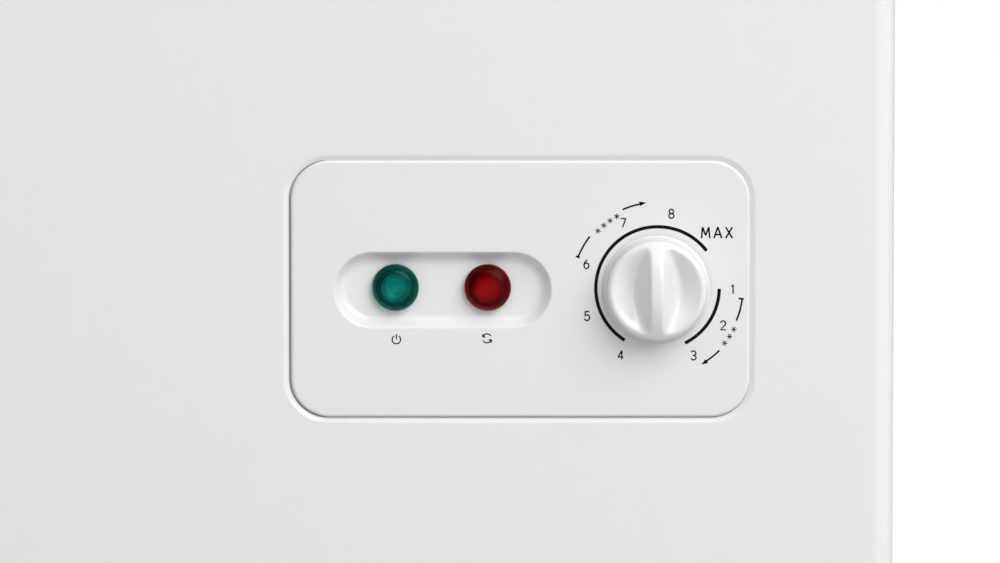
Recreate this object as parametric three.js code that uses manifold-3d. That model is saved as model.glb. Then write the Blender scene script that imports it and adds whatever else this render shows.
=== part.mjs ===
// Chest freezer: an insulated steel cabinet with a stepped liner, a machine bay at its right end,
// a control panel on the front of that bay and a sprung lid. Millimetres, +Z up, front towards -Y,
// origin on the floor under the middle of the whole appliance.

import * as THREE from 'three';
import { mergeVertices } from 'three/addons/utils/BufferGeometryUtils.js';
import Module from 'manifold-3d';

const wasm = await Module();
wasm.setup();

// ---------------------------------------------------------------------------------------------
// Driving dimensions
// ---------------------------------------------------------------------------------------------

const clearance = 0.3; // gap left between pieces that touch or run on each other

// cabinet
const cabinetWidth = 950;
const cabinetDepth = 560;
const cabinetHeight = 785; // floor to the top of the rim trim
const footHeight = 20;
const footRadius = 21;
const footInset = 46; // foot centre from the cabinet's sides
const sheetGauge = 1; // outer steel sheet
const sheetBend = 7; // outside radius of the vertical corners
const sheetFlange = 16; // turned-in edges of the sheet
const insulation = 60; // foam between the sheet and the liner
const linerGauge = 1.2;
const linerCorner = 24; // vertical corners of the liner, outside
const linerEdge = 12; // rounding of the liner's bottom edges
const bayWidth = 228; // machine bay, inside the right-hand sheet
const bayHeight = 244; // machine bay, above the underside of the cabinet
const trimGauge = 4.7; // top plate of the rim trim
const trimSkirt = 12; // its skirt, down the outside of the sheet
const trimLip = 1.8; // thickness of the skirt, outside the sheet
const railReach = 12; // basket rail, into the cavity
const railDrop = 24; // basket rail, below the top of the rim

// control panel
const panelWidth = 148;
const panelHeight = 83;
const panelCorner = 12.5;
const panelFlange = 2.3; // thickness of the moulding
const panelProud = 0.4; // its face, in front of the sheet
const panelEdge = 1; // rounding of its front edge
const panelShift = 5.4; // its centre, left of the middle of the machine bay
const panelAboveFloor = 165;
const panelLap = 5; // flange of the moulding, beyond the opening in the sheet
const recessMargin = 2; // sloping wall of the stamping round the panel
const controlRow = 0.4; // knob and lamps, above the panel's centre
const lampSpacing = 29.6;
const lampRadius = 7.6;
const lampDome = 4.5;
const pocketWidth = 70.4;
const pocketMargin = 0.7; // its flat floor, beyond the lamps
const pocketDepth = 3.5;
const pocketSlope = 4.2; // width of its sloping wall
const pocketFromEdge = 13.8; // its left end, from the panel's left edge
const knobFromEdge = 30; // knob's centre, from the panel's right edge
const knobRadius = 17.1;
const knobHeight = 14;
const knobLift = 0.8; // its skirt, clear of the panel
const knobGrip = 3.6; // width of the grip bar between the two finger hollows
const knobSkirt = 1; // thin skirt round its foot
const domeReach = 15.2; // radius of the knob's domed face
const domeSlope = THREE.MathUtils.degToRad(41); // the dome, at its edge
const hollowLength = 26.8;
const hollowDepth = 8;
const shaftRadius = 3;
const shaftSeat = 5.5; // end of the shaft's hole, behind the crown of the knob

// lid
const lidThickness = 52;
const lidOverhang = 3; // beyond the cabinet at its two ends
const lidFrontOverhang = 4;
const lidSkin = 1.5;
const lidEdge = 14; // rounding of the top edge
const gasketHeight = 8;
const gasketWidth = 13;
const gasketInset = 22; // gasket, from the lid's edge
const dikeInset = 80; // raised field under the lid, from the lid's edge
const dikeDrop = 13;
const handleWidth = 150;
const handleReach = 16;

// hinges
const hingeSpacing = 600;
const hingeWidth = 30;
const hingeGauge = 2.5;
const pinRadius = 4;
const pinSetback = 26; // pin, behind the back of the cabinet
const pinAboveRim = 4;
const hingeLength = 150; // housing, below the pin
const camWidth = 16;
const camRest = 20; // cam reach below the pin with the lid shut
const camRise = 7; // plunger travel for each radian of lid
const lidOpening = THREE.MathUtils.degToRad(80);
const plungerLength = 34;
const springPlay = 0.5; // spring, inside the cheeks
const springWire = 1.4;
const springTurns = 5;

// refrigerant circuit
const evaporatorTube = 4;
const evaporatorTurns = 3;
const evaporatorBelowRim = 95.25; // its highest run, below the top of the sheet
const condenserTube = 2.5;
const condenserRuns = 4;
const condenserBelowRim = 254.7; // its highest run, below the top of the sheet
const capillaryTube = 1.6;
const compressorRadius = 70;
const compressorHeight = 168;
const relayDepth = 20; // starter's cover, out from the side of the compressor

// basket
const basketWidth = 300;
const basketHeight = 252;
const basketWire = 2;
const basketBend = 8; // bends of its wires
const basketCorner = 16; // corners of its rim
const basketTaper = 6; // how far its foot is drawn in
const basketMargin = 8; // its rim, inside the rails
const basketHook = 46; // width of each hook

// ---------------------------------------------------------------------------------------------
// Solids: closed three.js geometry, joined and cut by manifold
// ---------------------------------------------------------------------------------------------

// A closed geometry as a manifold solid, with shared vertices merged and its faces outwards.
function toSolid(geometry) {
  const bare = geometry.clone();
  bare.deleteAttribute('normal');
  bare.deleteAttribute('uv');
  const merged = mergeVertices(bare, 1e-4);
  const points = merged.attributes.position;
  const corner = [new THREE.Vector3(), new THREE.Vector3(), new THREE.Vector3()];
  const triangles = [];
  let volume = 0;
  for (let i = 0; i < merged.index.count; i += 3) {
    const ids = [0, 1, 2].map((k) => merged.index.getX(i + k));
    const collapsed = new Set(ids).size < 3;
    if (!collapsed) {
      ids.forEach((id, k) => corner[k].fromBufferAttribute(points, id));
      volume += corner[0].dot(corner[1].cross(corner[2]));
      triangles.push(ids);
    }
  }
  if (volume < 0) {
    triangles.forEach((ids) => ids.reverse());
  }
  return new wasm.Manifold(new wasm.Mesh({
    numProp: 3,
    vertProperties: new Float32Array(points.array),
    triVerts: new Uint32Array(triangles.flat()),
  }));
}

function toGeometry(solid) {
  const mesh = solid.getMesh();
  const geometry = new THREE.BufferGeometry();
  geometry.setAttribute('position', new THREE.BufferAttribute(mesh.vertProperties, 3));
  geometry.setIndex(new THREE.BufferAttribute(mesh.triVerts, 1));
  return geometry;
}

function join(...parts) {
  return toGeometry(parts.map(toSolid).reduce((whole, part) => whole.add(part)));
}

function cut(whole, ...tools) {
  return toGeometry(tools.map(toSolid).reduce((left, tool) => left.subtract(tool), toSolid(whole)));
}

function common(one, other) {
  return toGeometry(toSolid(one).intersect(toSolid(other)));
}

function block([x0, x1], [y0, y1], [z0, z1]) {
  const box = new THREE.BoxGeometry(x1 - x0, y1 - y0, z1 - z0);
  return box.translate((x0 + x1) / 2, (y0 + y1) / 2, (z0 + z1) / 2);
}

// A profile of [radius, height] pairs turned about the Z axis.
function turned(profile, sides) {
  const outline = profile.map(([radius, height]) => new THREE.Vector2(radius, height));
  return new THREE.LatheGeometry(outline, sides).rotateX(Math.PI / 2);
}

function rod(radius, [z0, z1], sides) {
  return turned([[0, z0], [radius, z0], [radius, z1], [0, z1]], sides);
}

// A hole for a rod: its flats, not its corners, stand clear of a rod of the given radius.
function bore(radius, span, sides) {
  return rod((radius + clearance) / Math.cos(Math.PI / sides), span, sides);
}

// Points round a rounded rectangle: the same number at any size, so outlines can be lofted.
function roundedOutline(halfWidth, halfDepth, radius, segments) {
  const outline = [];
  [[1, 1], [-1, 1], [-1, -1], [1, -1]].forEach(([sideX, sideY], quarter) => {
    for (let i = 0; i <= segments; i += 1) {
      const angle = ((quarter + i / segments) * Math.PI) / 2;
      outline.push([
        sideX * (halfWidth - radius) + radius * Math.cos(angle),
        sideY * (halfDepth - radius) + radius * Math.sin(angle),
      ]);
    }
  });
  return outline;
}

// A body lofted through rounded rectangles, each [halfWidth, halfDepth, radius, height]. With
// loop the last ring joins the first, which makes a frame; otherwise both ends are capped.
function loft(rings, { segments = 4, loop = false } = {}) {
  const size = 4 * (segments + 1);
  const positions = rings.flatMap(([halfWidth, halfDepth, radius, height]) => (
    roundedOutline(halfWidth, halfDepth, radius, segments).flatMap(([x, y]) => [x, y, height])));
  const index = [];
  const bands = loop ? rings.length : rings.length - 1;
  for (let band = 0; band < bands; band += 1) {
    const low = band * size;
    const high = ((band + 1) % rings.length) * size;
    for (let i = 0; i < size; i += 1) {
      const next = (i + 1) % size;
      index.push(low + i, low + next, high + next, low + i, high + next, high + i);
    }
  }
  if (!loop) {
    const top = (rings.length - 1) * size;
    for (let i = 1; i < size - 1; i += 1) {
      index.push(0, i + 1, i, top, top + i, top + i + 1);
    }
  }
  const geometry = new THREE.BufferGeometry();
  geometry.setAttribute('position', new THREE.Float32BufferAttribute(positions, 3));
  geometry.setIndex(index);
  return geometry;
}

// Outlines drawn in a plane and drawn out square to it. The basis says where the drawing's two
// axes and the extrusion point.
function drawnOut(outline, length, basis) {
  const shape = new THREE.Shape(outline.map(([u, v]) => new THREE.Vector2(u, v)));
  const geometry = new THREE.ExtrudeGeometry(shape, { depth: length, bevelEnabled: false });
  return geometry.applyMatrix4(new THREE.Matrix4().makeBasis(...basis));
}

const alongX = [new THREE.Vector3(0, 1, 0), new THREE.Vector3(0, 0, 1), new THREE.Vector3(1, 0, 0)];
const alongY = [new THREE.Vector3(1, 0, 0), new THREE.Vector3(0, 0, 1), new THREE.Vector3(0, -1, 0)];

// An outline in Y and Z carried from x0 to x1.
function railX(outline, [x0, x1]) {
  return drawnOut(outline, x1 - x0, alongX).translate(x0, 0, 0);
}

// An outline in X and Z carried from y0 to y1.
function railY(outline, [y0, y1]) {
  return drawnOut(outline, y1 - y0, alongY).translate(0, y1, 0);
}

// Turns a body made along +Z so that +Z faces the front, and puts it at (x, y, z).
function facingFront(geometry, x, y, z) {
  return geometry.rotateX(Math.PI / 2).translate(x, y, z);
}

// A path through hand-placed stations: the extrusion puts one section on each of them.
class StationPath extends THREE.Curve {
  constructor(stations) {
    super();
    this.stations = stations;
  }

  getPoint(t) {
    return this.stations[Math.round(t * (this.stations.length - 1))].clone();
  }

  getPointAt(u) {
    return this.getPoint(u);
  }

  getTangentAt(u) {
    const last = this.stations.length - 1;
    const i = Math.round(u * last);
    const here = this.stations[i];
    const arriving = here.clone().sub(this.stations[Math.max(i - 1, 0)]).normalize();
    const leaving = this.stations[Math.min(i + 1, last)].clone().sub(here).normalize();
    return arriving.add(leaving).normalize();
  }
}

// Stations of a pipe that runs straight between corners and is bent round each of them. A bend
// takes no more than its share of the straight runs that it joins.
function bentRoute(corners, bendRadius, stepsPerBend = 3) {
  const points = corners.map((corner) => new THREE.Vector3(...corner));
  const stations = [points[0]];
  for (let i = 1; i < points.length - 1; i += 1) {
    const back = points[i - 1].clone().sub(points[i]);
    const ahead = points[i + 1].clone().sub(points[i]);
    const half = back.angleTo(ahead) / 2;
    const room = 0.48 * Math.min(back.length(), ahead.length());
    const radius = Math.min(bendRadius, room * Math.tan(half));
    const reach = radius / Math.tan(half);
    back.normalize();
    ahead.normalize();
    const centre = points[i].clone()
      .add(back.clone().add(ahead).normalize().multiplyScalar(radius / Math.sin(half)));
    const start = points[i].clone().add(back.multiplyScalar(reach)).sub(centre);
    const axis = start.clone().cross(points[i].clone().add(ahead.multiplyScalar(reach)).sub(centre));
    axis.normalize();
    for (let step = 0; step <= stepsPerBend; step += 1) {
      const angle = (step / stepsPerBend) * (Math.PI - 2 * half);
      stations.push(start.clone().applyAxisAngle(axis, angle).add(centre));
    }
  }
  stations.push(points[points.length - 1]);
  return stations;
}

// A round pipe or wire through stations.
function pipe(stations, radius, sides = 6) {
  const section = new THREE.Shape();
  for (let i = 0; i < sides; i += 1) {
    const angle = ((i + 0.5) / sides) * 2 * Math.PI;
    const at = [radius * Math.cos(angle), radius * Math.sin(angle)];
    if (i === 0) {
      section.moveTo(...at);
    } else {
      section.lineTo(...at);
    }
  }
  return new THREE.ExtrudeGeometry(section, {
    steps: stations.length - 1,
    extrudePath: new StationPath(stations),
  });
}

// ---------------------------------------------------------------------------------------------
// Finishes and the group that holds every piece
// ---------------------------------------------------------------------------------------------

const finishes = {
  enamel: { color: 0xf1f2f1, roughness: 0.3, metalness: 0 },
  abs: { color: 0xf3f3f1, roughness: 0.25, metalness: 0 },
  aluminium: { color: 0xd6d9da, roughness: 0.35, metalness: 0.8 },
  galvanised: { color: 0xb4b8ba, roughness: 0.45, metalness: 0.8 },
  foam: { color: 0xe9d9a3, roughness: 0.9, metalness: 0 },
  copper: { color: 0xb66a43, roughness: 0.35, metalness: 0.9 },
  blackSteel: { color: 0x1d1e20, roughness: 0.4, metalness: 0.3 },
  blackPlastic: { color: 0x232425, roughness: 0.5, metalness: 0 },
  rubber: { color: 0x2a2a2a, roughness: 0.8, metalness: 0 },
  gasket: { color: 0xdfe0de, roughness: 0.6, metalness: 0 },
  greenLens: { color: 0x006a5c, roughness: 0.1, metalness: 0 },
  redLens: { color: 0x7a0400, roughness: 0.1, metalness: 0 },
  springSteel: { color: 0x8f9294, roughness: 0.3, metalness: 0.9 },
};

const freezer = new THREE.Group();

function place(name, geometry, finish) {
  const material = new THREE.MeshStandardMaterial(finishes[finish]);
  const mesh = new THREE.Mesh(toGeometry(toSolid(geometry)), material);
  mesh.name = name;
  freezer.add(mesh);
}

// ---------------------------------------------------------------------------------------------
// Places that several pieces share
// ---------------------------------------------------------------------------------------------

const halfWidth = cabinetWidth / 2;
const halfDepth = cabinetDepth / 2;
const shellTop = cabinetHeight - trimGauge - clearance;
const innerX = halfWidth - sheetGauge - clearance; // what stands against the sheet, at the sides
const innerY = halfDepth - sheetGauge - clearance; // the same, at the front and the back
const panZ = footHeight + sheetGauge + clearance; // underside of the pan and the compressor base
const panGauge = 1;
const baseGauge = 2;
const foamZ = panZ + panGauge + clearance;
const foamTop = shellTop - sheetGauge - clearance;
const foamBack = innerY - sheetGauge - clearance;
const linerX = halfWidth - sheetGauge - insulation; // outside faces of the liner
const linerY = halfDepth - sheetGauge - insulation;
const linerZ = panZ + panGauge + insulation;
const bayX = halfWidth - sheetGauge - bayWidth; // left face of the bulkhead
const bayZ = footHeight + bayHeight; // top face of the bulkhead
const stepX = bayX - insulation; // outside faces of the liner's step
const stepZ = bayZ + insulation;
const bulkheadGauge = 1;
const bayMiddle = halfWidth - sheetGauge - bayWidth / 2;
const panelX = bayMiddle - panelShift;
const panelFace = -halfDepth - panelProud;
const recessDepth = panelFlange - panelProud + clearance;
const controlZ = panelAboveFloor + controlRow;
const knobX = panelX + panelWidth / 2 - knobFromEdge;
const pocketX = panelX - panelWidth / 2 + pocketFromEdge + pocketWidth / 2;
const pocketHeight = 2 * (lampRadius + pocketMargin + pocketSlope);
const boxDepth = 54; // shield behind the panel, from the panel's face
const drierY = panelFace + boxDepth + 36; // pipework, behind that shield
const lidBottom = cabinetHeight + gasketHeight;
const lidTop = lidBottom + lidThickness;
const lidHalfWidth = halfWidth + lidOverhang;
const lidFront = -halfDepth - lidFrontOverhang;
const lidHalfDepth = (halfDepth - lidFront) / 2;
const lidY = (halfDepth + lidFront) / 2;
const pinY = halfDepth + pinSetback;
const pinZ = cabinetHeight + pinAboveRim;

// ---------------------------------------------------------------------------------------------
// Outer cabinet
// ---------------------------------------------------------------------------------------------

const controlOpening = [panelWidth / 2 - panelLap, panelHeight / 2 - panelLap, panelCorner - 4];
const vent = { front: -40, back: 180, low: footHeight + 50, high: bayZ - 46, corner: 6, depth: 9 };
const drain = { x: -linerX + 84, floorY: -linerY + 69, outletZ: 50, radius: 9 };
const drainSides = 8;

// The dished stamping that the control panel sits in: its wall slopes in from the sheet's face.
function panelStamping(grow, front, depth) {
  const wide = panelWidth / 2 + recessMargin + grow;
  const tall = panelHeight / 2 + recessMargin + grow;
  const round = panelCorner + recessMargin + grow;
  return facingFront(loft([
    [wide - recessMargin * 0.75, tall - recessMargin * 0.75, round - recessMargin * 0.75, -depth],
    [wide, tall, round, 0],
    [wide, tall, round, front],
  ]), panelX, -halfDepth, panelAboveFloor);
}

function outerShell() {
  const ring = (inset, z) => [
    halfWidth - inset, halfDepth - inset, Math.max(sheetBend - inset, 1), z];
  const wrap = loft([
    ring(0, footHeight),
    ring(0, shellTop),
    ring(sheetFlange, shellTop),
    ring(sheetFlange, shellTop - sheetGauge),
    ring(sheetGauge, shellTop - sheetGauge),
    ring(sheetGauge, footHeight + sheetGauge),
    ring(sheetFlange, footHeight + sheetGauge),
    ring(sheetFlange, footHeight),
  ], { loop: true });
  const backWindow = block(
    [-halfWidth + sheetFlange, halfWidth - sheetFlange],
    [halfDepth - sheetBend, halfDepth + 1],
    [footHeight - 1, shellTop - sheetFlange],
  );
  const stamped = join(wrap, panelStamping(0.3, 0, recessDepth + sheetGauge));
  const controlHole = facingFront(loft([
    [...controlOpening, -20],
    [...controlOpening, 1],
  ], { segments: 3 }), panelX, -halfDepth, panelAboveFloor);
  const ventHole = block(
    [halfWidth - 5, halfWidth + 5],
    [vent.front, vent.back],
    [vent.low, vent.high],
  );
  const drainHole = facingFront(bore(drain.radius, [-5, 5], drainSides),
    drain.x, -halfDepth, drain.outletZ);
  return cut(stamped, panelStamping(0, 1, recessDepth), backWindow, controlHole, ventHole, drainHole);
}

// The space inside the sheet, with its rounded corners: what stands in a corner is trimmed to it.
function trimmedToSheet(geometry) {
  const inside = [innerX, innerY, sheetBend - sheetGauge];
  return common(geometry, loft([[...inside, 0], [...inside, cabinetHeight]]));
}

// Flat back with two pressed beads; it stands inside the turned edges of the outer sheet.
function backPanel() {
  const bead = (grow, y0, y1, z) => loft([
    [halfWidth - 120 + grow, 9 + grow, 9 + grow, -y1],
    [halfWidth - 124 + grow, 5 + grow, 5 + grow, -y0],
  ], { segments: 2 }).rotateX(Math.PI / 2).translate(0, 0, z);
  const levels = [0.52, 0.74].map((share) => footHeight + share * (shellTop - footHeight));
  const face = innerY;
  const edge = halfWidth - sheetBend;
  const sheet = block([-edge, edge], [face - sheetGauge, face], [panZ, foamTop]);
  const bayCorner = block([bayX - clearance, halfWidth], [0, halfDepth], [0, bayZ + clearance]);
  const pressed = levels.map((z) => bead(0, face + 1, face - 1, z));
  const hollows = levels.map((z) => bead(-1, face, face - 3, z));
  return cut(join(cut(sheet, bayCorner), ...pressed), ...hollows);
}

// Tray under the foam, its three outer edges turned up.
function basePan(grow) {
  const left = -innerX - grow;
  const right = bayX - clearance + grow;
  const edge = 12;
  const tray = block([left, right], [-innerY - grow, foamBack + grow], [panZ - grow, panZ + edge + grow]);
  const inside = block(
    [left + panGauge + 2 * grow, right + 1],
    [-innerY + panGauge + grow, foamBack - panGauge - grow],
    [panZ + panGauge + grow, panZ + edge + grow + 1],
  );
  return trimmedToSheet(cut(tray, inside));
}

// Heavy plate under the machine bay with a stud for each compressor grommet.
// The can and its starter's cover share the room between the bulkhead and the grille's sleeve.
const compressorSpot = { x: bayMiddle + (relayDepth - vent.depth) / 2, y: 140 };
const sole = { halfX: (bayWidth - relayDepth) / 2 - 16, halfY: 70, corner: 18, gauge: 3 };
const grommetSpots = [[-1, -1], [1, -1], [1, 1], [-1, 1]].map(([sideX, sideY]) => [
  compressorSpot.x + sideX * (sole.halfX - sole.corner),
  compressorSpot.y + sideY * (sole.halfY - sole.corner)]);
const studRadius = 3.5;
const studThread = 10; // stud, above its grommet
const grommet = { radius: 12, neck: 8, shelf: 11, height: 17 };
const plateZ = panZ + baseGauge;

function compressorBase() {
  const left = bayX + bulkheadGauge + clearance;
  const edge = 14;
  const tray = block([left, innerX], [-innerY, foamBack], [panZ, panZ + edge]);
  const inside = block(
    [left + baseGauge, innerX - baseGauge],
    [-innerY - 1, foamBack + 1],
    [plateZ, panZ + edge + 1],
  );
  const studs = grommetSpots.map(([x, y]) => (
    rod(studRadius, [plateZ - 1, plateZ + grommet.height + studThread], 10).translate(x, y, 0)));
  return join(trimmedToSheet(cut(tray, inside)), ...studs);
}

// Stepped sheet that closes the foam off from the bay, with holes for the pipes.
function bayBulkhead(pipes) {
  const right = innerX;
  const sheet = railY([
    [bayX, panZ],
    [bayX + bulkheadGauge, panZ],
    [bayX + bulkheadGauge, bayZ - bulkheadGauge],
    [right, bayZ - bulkheadGauge],
    [right, bayZ],
    [bayX, bayZ],
  ], [-innerY, foamBack]);
  return cut(trimmedToSheet(sheet), ...pipes);
}

// The liner's outside, grown or shrunk: a deep bin whose floor rises over the machine bay.
function linerForm(grow, top) {
  const bin = (x0, x1, floor) => {
    const wide = (x1 - x0) / 2;
    const deep = linerY + grow;
    const round = linerCorner + grow;
    return loft([
      [wide - linerEdge, deep - linerEdge, round - linerEdge, floor],
      [wide - linerEdge * 0.3, deep - linerEdge * 0.3, round - linerEdge * 0.3, floor + linerEdge * 0.3],
      [wide, deep, round, floor + linerEdge],
      [wide, deep, round, top],
    ], { segments: 3 }).translate((x0 + x1) / 2, 0, 0);
  };
  return join(
    bin(-linerX - grow, linerX + grow, stepZ - grow),
    bin(-linerX - grow, stepX + grow, linerZ - grow),
  );
}

function innerLiner() {
  const lip = 14;
  const flange = loft([
    [linerX + lip, linerY + lip, linerCorner + lip, shellTop - sheetGauge],
    [linerX + lip, linerY + lip, linerCorner + lip, shellTop],
    [linerX - 1, linerY - 1, linerCorner - 1, shellTop],
    [linerX - 1, linerY - 1, linerCorner - 1, shellTop - sheetGauge],
  ], { loop: true, segments: 3 });
  const drainHole = bore(drain.radius + 2, [linerZ - 5, linerZ + 5], drainSides)
    .translate(drain.x, drain.floorY, 0);
  return cut(join(linerForm(0, shellTop), flange), linerForm(-linerGauge, shellTop + 1), drainHole);
}

// Everything between the sheet, the pan, the bulkhead and the liner.
function foamInsulation(pipes) {
  const round = sheetBend - sheetGauge;
  const middle = (foamBack - innerY) / 2;
  const deep = (foamBack + innerY) / 2;
  const outside = loft([
    [innerX, deep, round, foamZ],
    [innerX, deep, round, foamTop],
  ]).translate(0, middle, 0);
  const bay = block(
    [bayX - clearance, halfWidth],
    [-halfDepth, halfDepth],
    [0, bayZ + clearance],
  );
  return cut(outside, bay, basePan(clearance), linerForm(clearance, shellTop + 1), ...pipes);
}

// Moulded frame over the tops of the sheet and the liner; its inner lip is the basket's rail.
function rimTrim() {
  const wall = 2;
  const cavity = halfWidth - linerX + linerGauge;
  const inner = cavity + clearance;
  const ring = (inset, z) => {
    const outside = inset < sheetBend;
    const radius = outside ? sheetBend - inset : linerCorner - linerGauge - (inset - cavity);
    return [halfWidth - inset, halfDepth - inset, Math.max(radius, 4), z];
  };
  return loft([
    ring(-trimLip, shellTop - trimSkirt),
    ring(-trimLip, cabinetHeight - trimLip),
    ring(0, cabinetHeight),
    ring(inner, cabinetHeight),
    ring(inner + wall, cabinetHeight - wall),
    ring(inner + wall, cabinetHeight - railDrop),
    ring(inner + railReach, cabinetHeight - railDrop),
    ring(inner + railReach, cabinetHeight - railDrop - wall),
    ring(inner, cabinetHeight - railDrop - wall),
    ring(inner, shellTop + clearance),
    ring(-clearance, shellTop + clearance),
    ring(-clearance, shellTop - trimSkirt),
  ], { loop: true, segments: 3 });
}

// Screwed-on foot: a stepped moulding, its foot pad flared.
function foot(x, y) {
  const top = panZ - clearance;
  return turned([
    [0, 0],
    [footRadius - 2, 0],
    [footRadius, 2],
    [footRadius - 3, top - 6],
    [footRadius - 5, top],
    [0, top],
  ], 12).translate(x, y, 0);
}

// ---------------------------------------------------------------------------------------------
// Refrigerant circuit
// ---------------------------------------------------------------------------------------------

const compressorPorts = {
  discharge: { x: compressorSpot.x - 28, z: panZ + 54 },
  suction: { x: compressorSpot.x + 26, z: 150 },
  y: compressorSpot.y - compressorRadius - 18,
};
const pipeReach = 25; // pipe ends, into the bay
const suctionX = linerX + clearance + 5 * evaporatorTube;
const suctionY = -20;
const evaporatorInletY = -120;

// A tube wound round the liner, from the bay up and, outside its own turns, back down.
function evaporatorRoute() {
  const x = linerX + clearance + evaporatorTube;
  const y = linerY + clearance + evaporatorTube;
  const start = stepZ + linerEdge + 40;
  const top = shellTop - evaporatorBelowRim;
  const rise = (top - 20 - start) / (4 * evaporatorTurns - 1);
  const corners = [[x, evaporatorInletY, bayZ - pipeReach], [x, evaporatorInletY, start]];
  for (let quarter = 0; quarter < 4 * evaporatorTurns; quarter += 1) {
    const [sideX, sideY] = [[1, 1], [-1, 1], [-1, -1], [1, -1]][quarter % 4];
    corners.push([sideX * x, sideY * y, start + quarter * rise]);
  }
  corners.push(
    [x, suctionY, top],
    [suctionX, suctionY, top],
    [suctionX, suctionY, bayZ - pipeReach],
  );
  return bentRoute(corners, linerCorner + clearance + evaporatorTube);
}

// A serpentine bonded to the inside of the front and left-hand sheets.
function condenserRoute() {
  const x = -innerX + condenserTube;
  const y = -innerY + condenserTube;
  const low = compressorPorts.discharge.z;
  const pitch = (shellTop - condenserBelowRim - low) / (condenserRuns - 1);
  const back = 0.75 * halfDepth;
  const outletX = bayX + 2 * pipeReach;
  const corners = [[bayX + pipeReach, y, low]];
  for (let run = 0; run < condenserRuns; run += 1) {
    const z = low + run * pitch;
    const turns = [[x, y, z], [x, back, z]];
    if (run % 2 === 1) {
      turns.reverse();
      turns.push([run === condenserRuns - 1 ? outletX : stepX, y, z]);
    } else if (run > 0) {
      turns.unshift([stepX, y, z]);
    }
    corners.push(...turns);
  }
  corners.push(
    [outletX, y, bayZ + insulation / 2],
    [outletX, drierY, bayZ + insulation / 2],
    [outletX, drierY, bayZ - pipeReach],
  );
  return bentRoute(corners, 16, 2);
}

const can = { sides: 14, seam: 4, stretchX: 1.08, stretchY: 0.94 };

// Welded two-piece can on a sheet foot, with its two pipe stubs.
function compressor() {
  const footZ = plateZ + grommet.shelf + clearance;
  const low = footZ + sole.gauge;
  const high = plateZ + compressorHeight;
  const seam = low + 0.42 * (high - low);
  const body = turned([
    [0, low - 1],
    [compressorRadius * 0.62, low - 1],
    [compressorRadius * 0.9, low + 10],
    [compressorRadius, low + 34],
    [compressorRadius, seam - 3],
    [compressorRadius + can.seam, seam - 3],
    [compressorRadius + can.seam, seam + 3],
    [compressorRadius, seam + 3],
    [compressorRadius * 0.97, high - 34],
    [compressorRadius * 0.8, high - 12],
    [compressorRadius * 0.45, high - 2],
    [0, high],
  ], can.sides).scale(can.stretchX, can.stretchY, 1).translate(compressorSpot.x, compressorSpot.y, 0);
  const outline = [sole.halfX, sole.halfY, sole.corner];
  const footPlate = loft([[...outline, footZ], [...outline, low]], { segments: 3 })
    .translate(compressorSpot.x, compressorSpot.y, 0);
  const holes = grommetSpots.map(([x, y]) => (
    bore(grommet.neck, [footZ - 1, low + 1], 10).translate(x, y, 0)));
  const stub = ({ x, z }) => facingFront(rod(5, [-40, 0], 8), x, compressorPorts.y, z);
  return cut(
    join(body, footPlate, stub(compressorPorts.discharge), stub(compressorPorts.suction)),
    ...holes,
  );
}

function compressorGrommet([x, y]) {
  const { radius, neck, shelf, height } = grommet;
  const hole = (studRadius + clearance) / Math.cos(Math.PI / 8);
  return turned([
    [hole, plateZ],
    [radius, plateZ],
    [radius, plateZ + shelf],
    [neck, plateZ + shelf],
    [neck, plateZ + height],
    [hole, plateZ + height],
    [hole, plateZ],
  ], 8).translate(x, y, 0);
}

// Clipped cover over the starter, on the can's left side.
function relayCover() {
  const flat = (compressorRadius + can.seam) * can.stretchX * Math.cos(Math.PI / can.sides);
  const face = compressorSpot.x - flat - clearance;
  return loft([
    [24, 30, 5, 0],
    [24, 30, 5, -0.7 * relayDepth],
    [20, 26, 5, -relayDepth],
  ], { segments: 2 }).rotateY(Math.PI / 2).translate(face, compressorSpot.y, 104);
}

function dischargePipe() {
  const { x, z } = compressorPorts.discharge;
  const y = -innerY + condenserTube;
  return pipe(bentRoute([
    [x, compressorPorts.y - clearance, z],
    [x, y, z],
    [bayX + pipeReach + clearance, y, z],
  ], 20, 3), condenserTube);
}

function suctionPipe() {
  const { x, z } = compressorPorts.suction;
  return pipe(bentRoute([
    [x, compressorPorts.y - clearance, z],
    [x, suctionY, z],
    [suctionX, suctionY, z],
    [suctionX, suctionY, bayZ - pipeReach - clearance],
  ], 16, 3), evaporatorTube);
}

// Copper drier between the condenser's outlet and the capillary that feeds the evaporator.
function filterDrier() {
  const inletX = bayX + 2 * pipeReach;
  const outletX = linerX + clearance + evaporatorTube;
  const radius = 10;
  const neck = 4;
  const low = 96;
  const high = 186;
  const belly = radius - 1;
  const shell = turned([
    [0, low], [neck, low], [radius, low + belly], [radius, high - belly], [neck, high], [0, high],
  ], 12).translate(inletX, drierY, 0);
  const inlet = rod(condenserTube, [high - neck, bayZ - pipeReach - clearance], 6)
    .translate(inletX, drierY, 0);
  const loop = low - 34; // the capillary's lowest run
  const outlet = pipe(bentRoute([
    [inletX, drierY, low + neck],
    [inletX, drierY, loop],
    [outletX, drierY, loop],
    [outletX, evaporatorInletY, loop],
    [outletX, evaporatorInletY, bayZ - pipeReach - clearance],
  ], 14, 2), capillaryTube, 5);
  return join(shell, inlet, outlet);
}

// ---------------------------------------------------------------------------------------------
// Control panel
// ---------------------------------------------------------------------------------------------

const lampSpots = [pocketX - lampSpacing / 2, pocketX + lampSpacing / 2];
const lampStem = 5.5;
const bushRadius = 4.7;
const lampSides = 16;
const skirtReach = 12; // clipping skirt behind the panel, from the panel's face
const boxGap = 4; // shield, inside the opening
const boxWall = 2;
const boxHalf = [controlOpening[0] - boxGap, controlOpening[1] - boxGap, 6];

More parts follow.
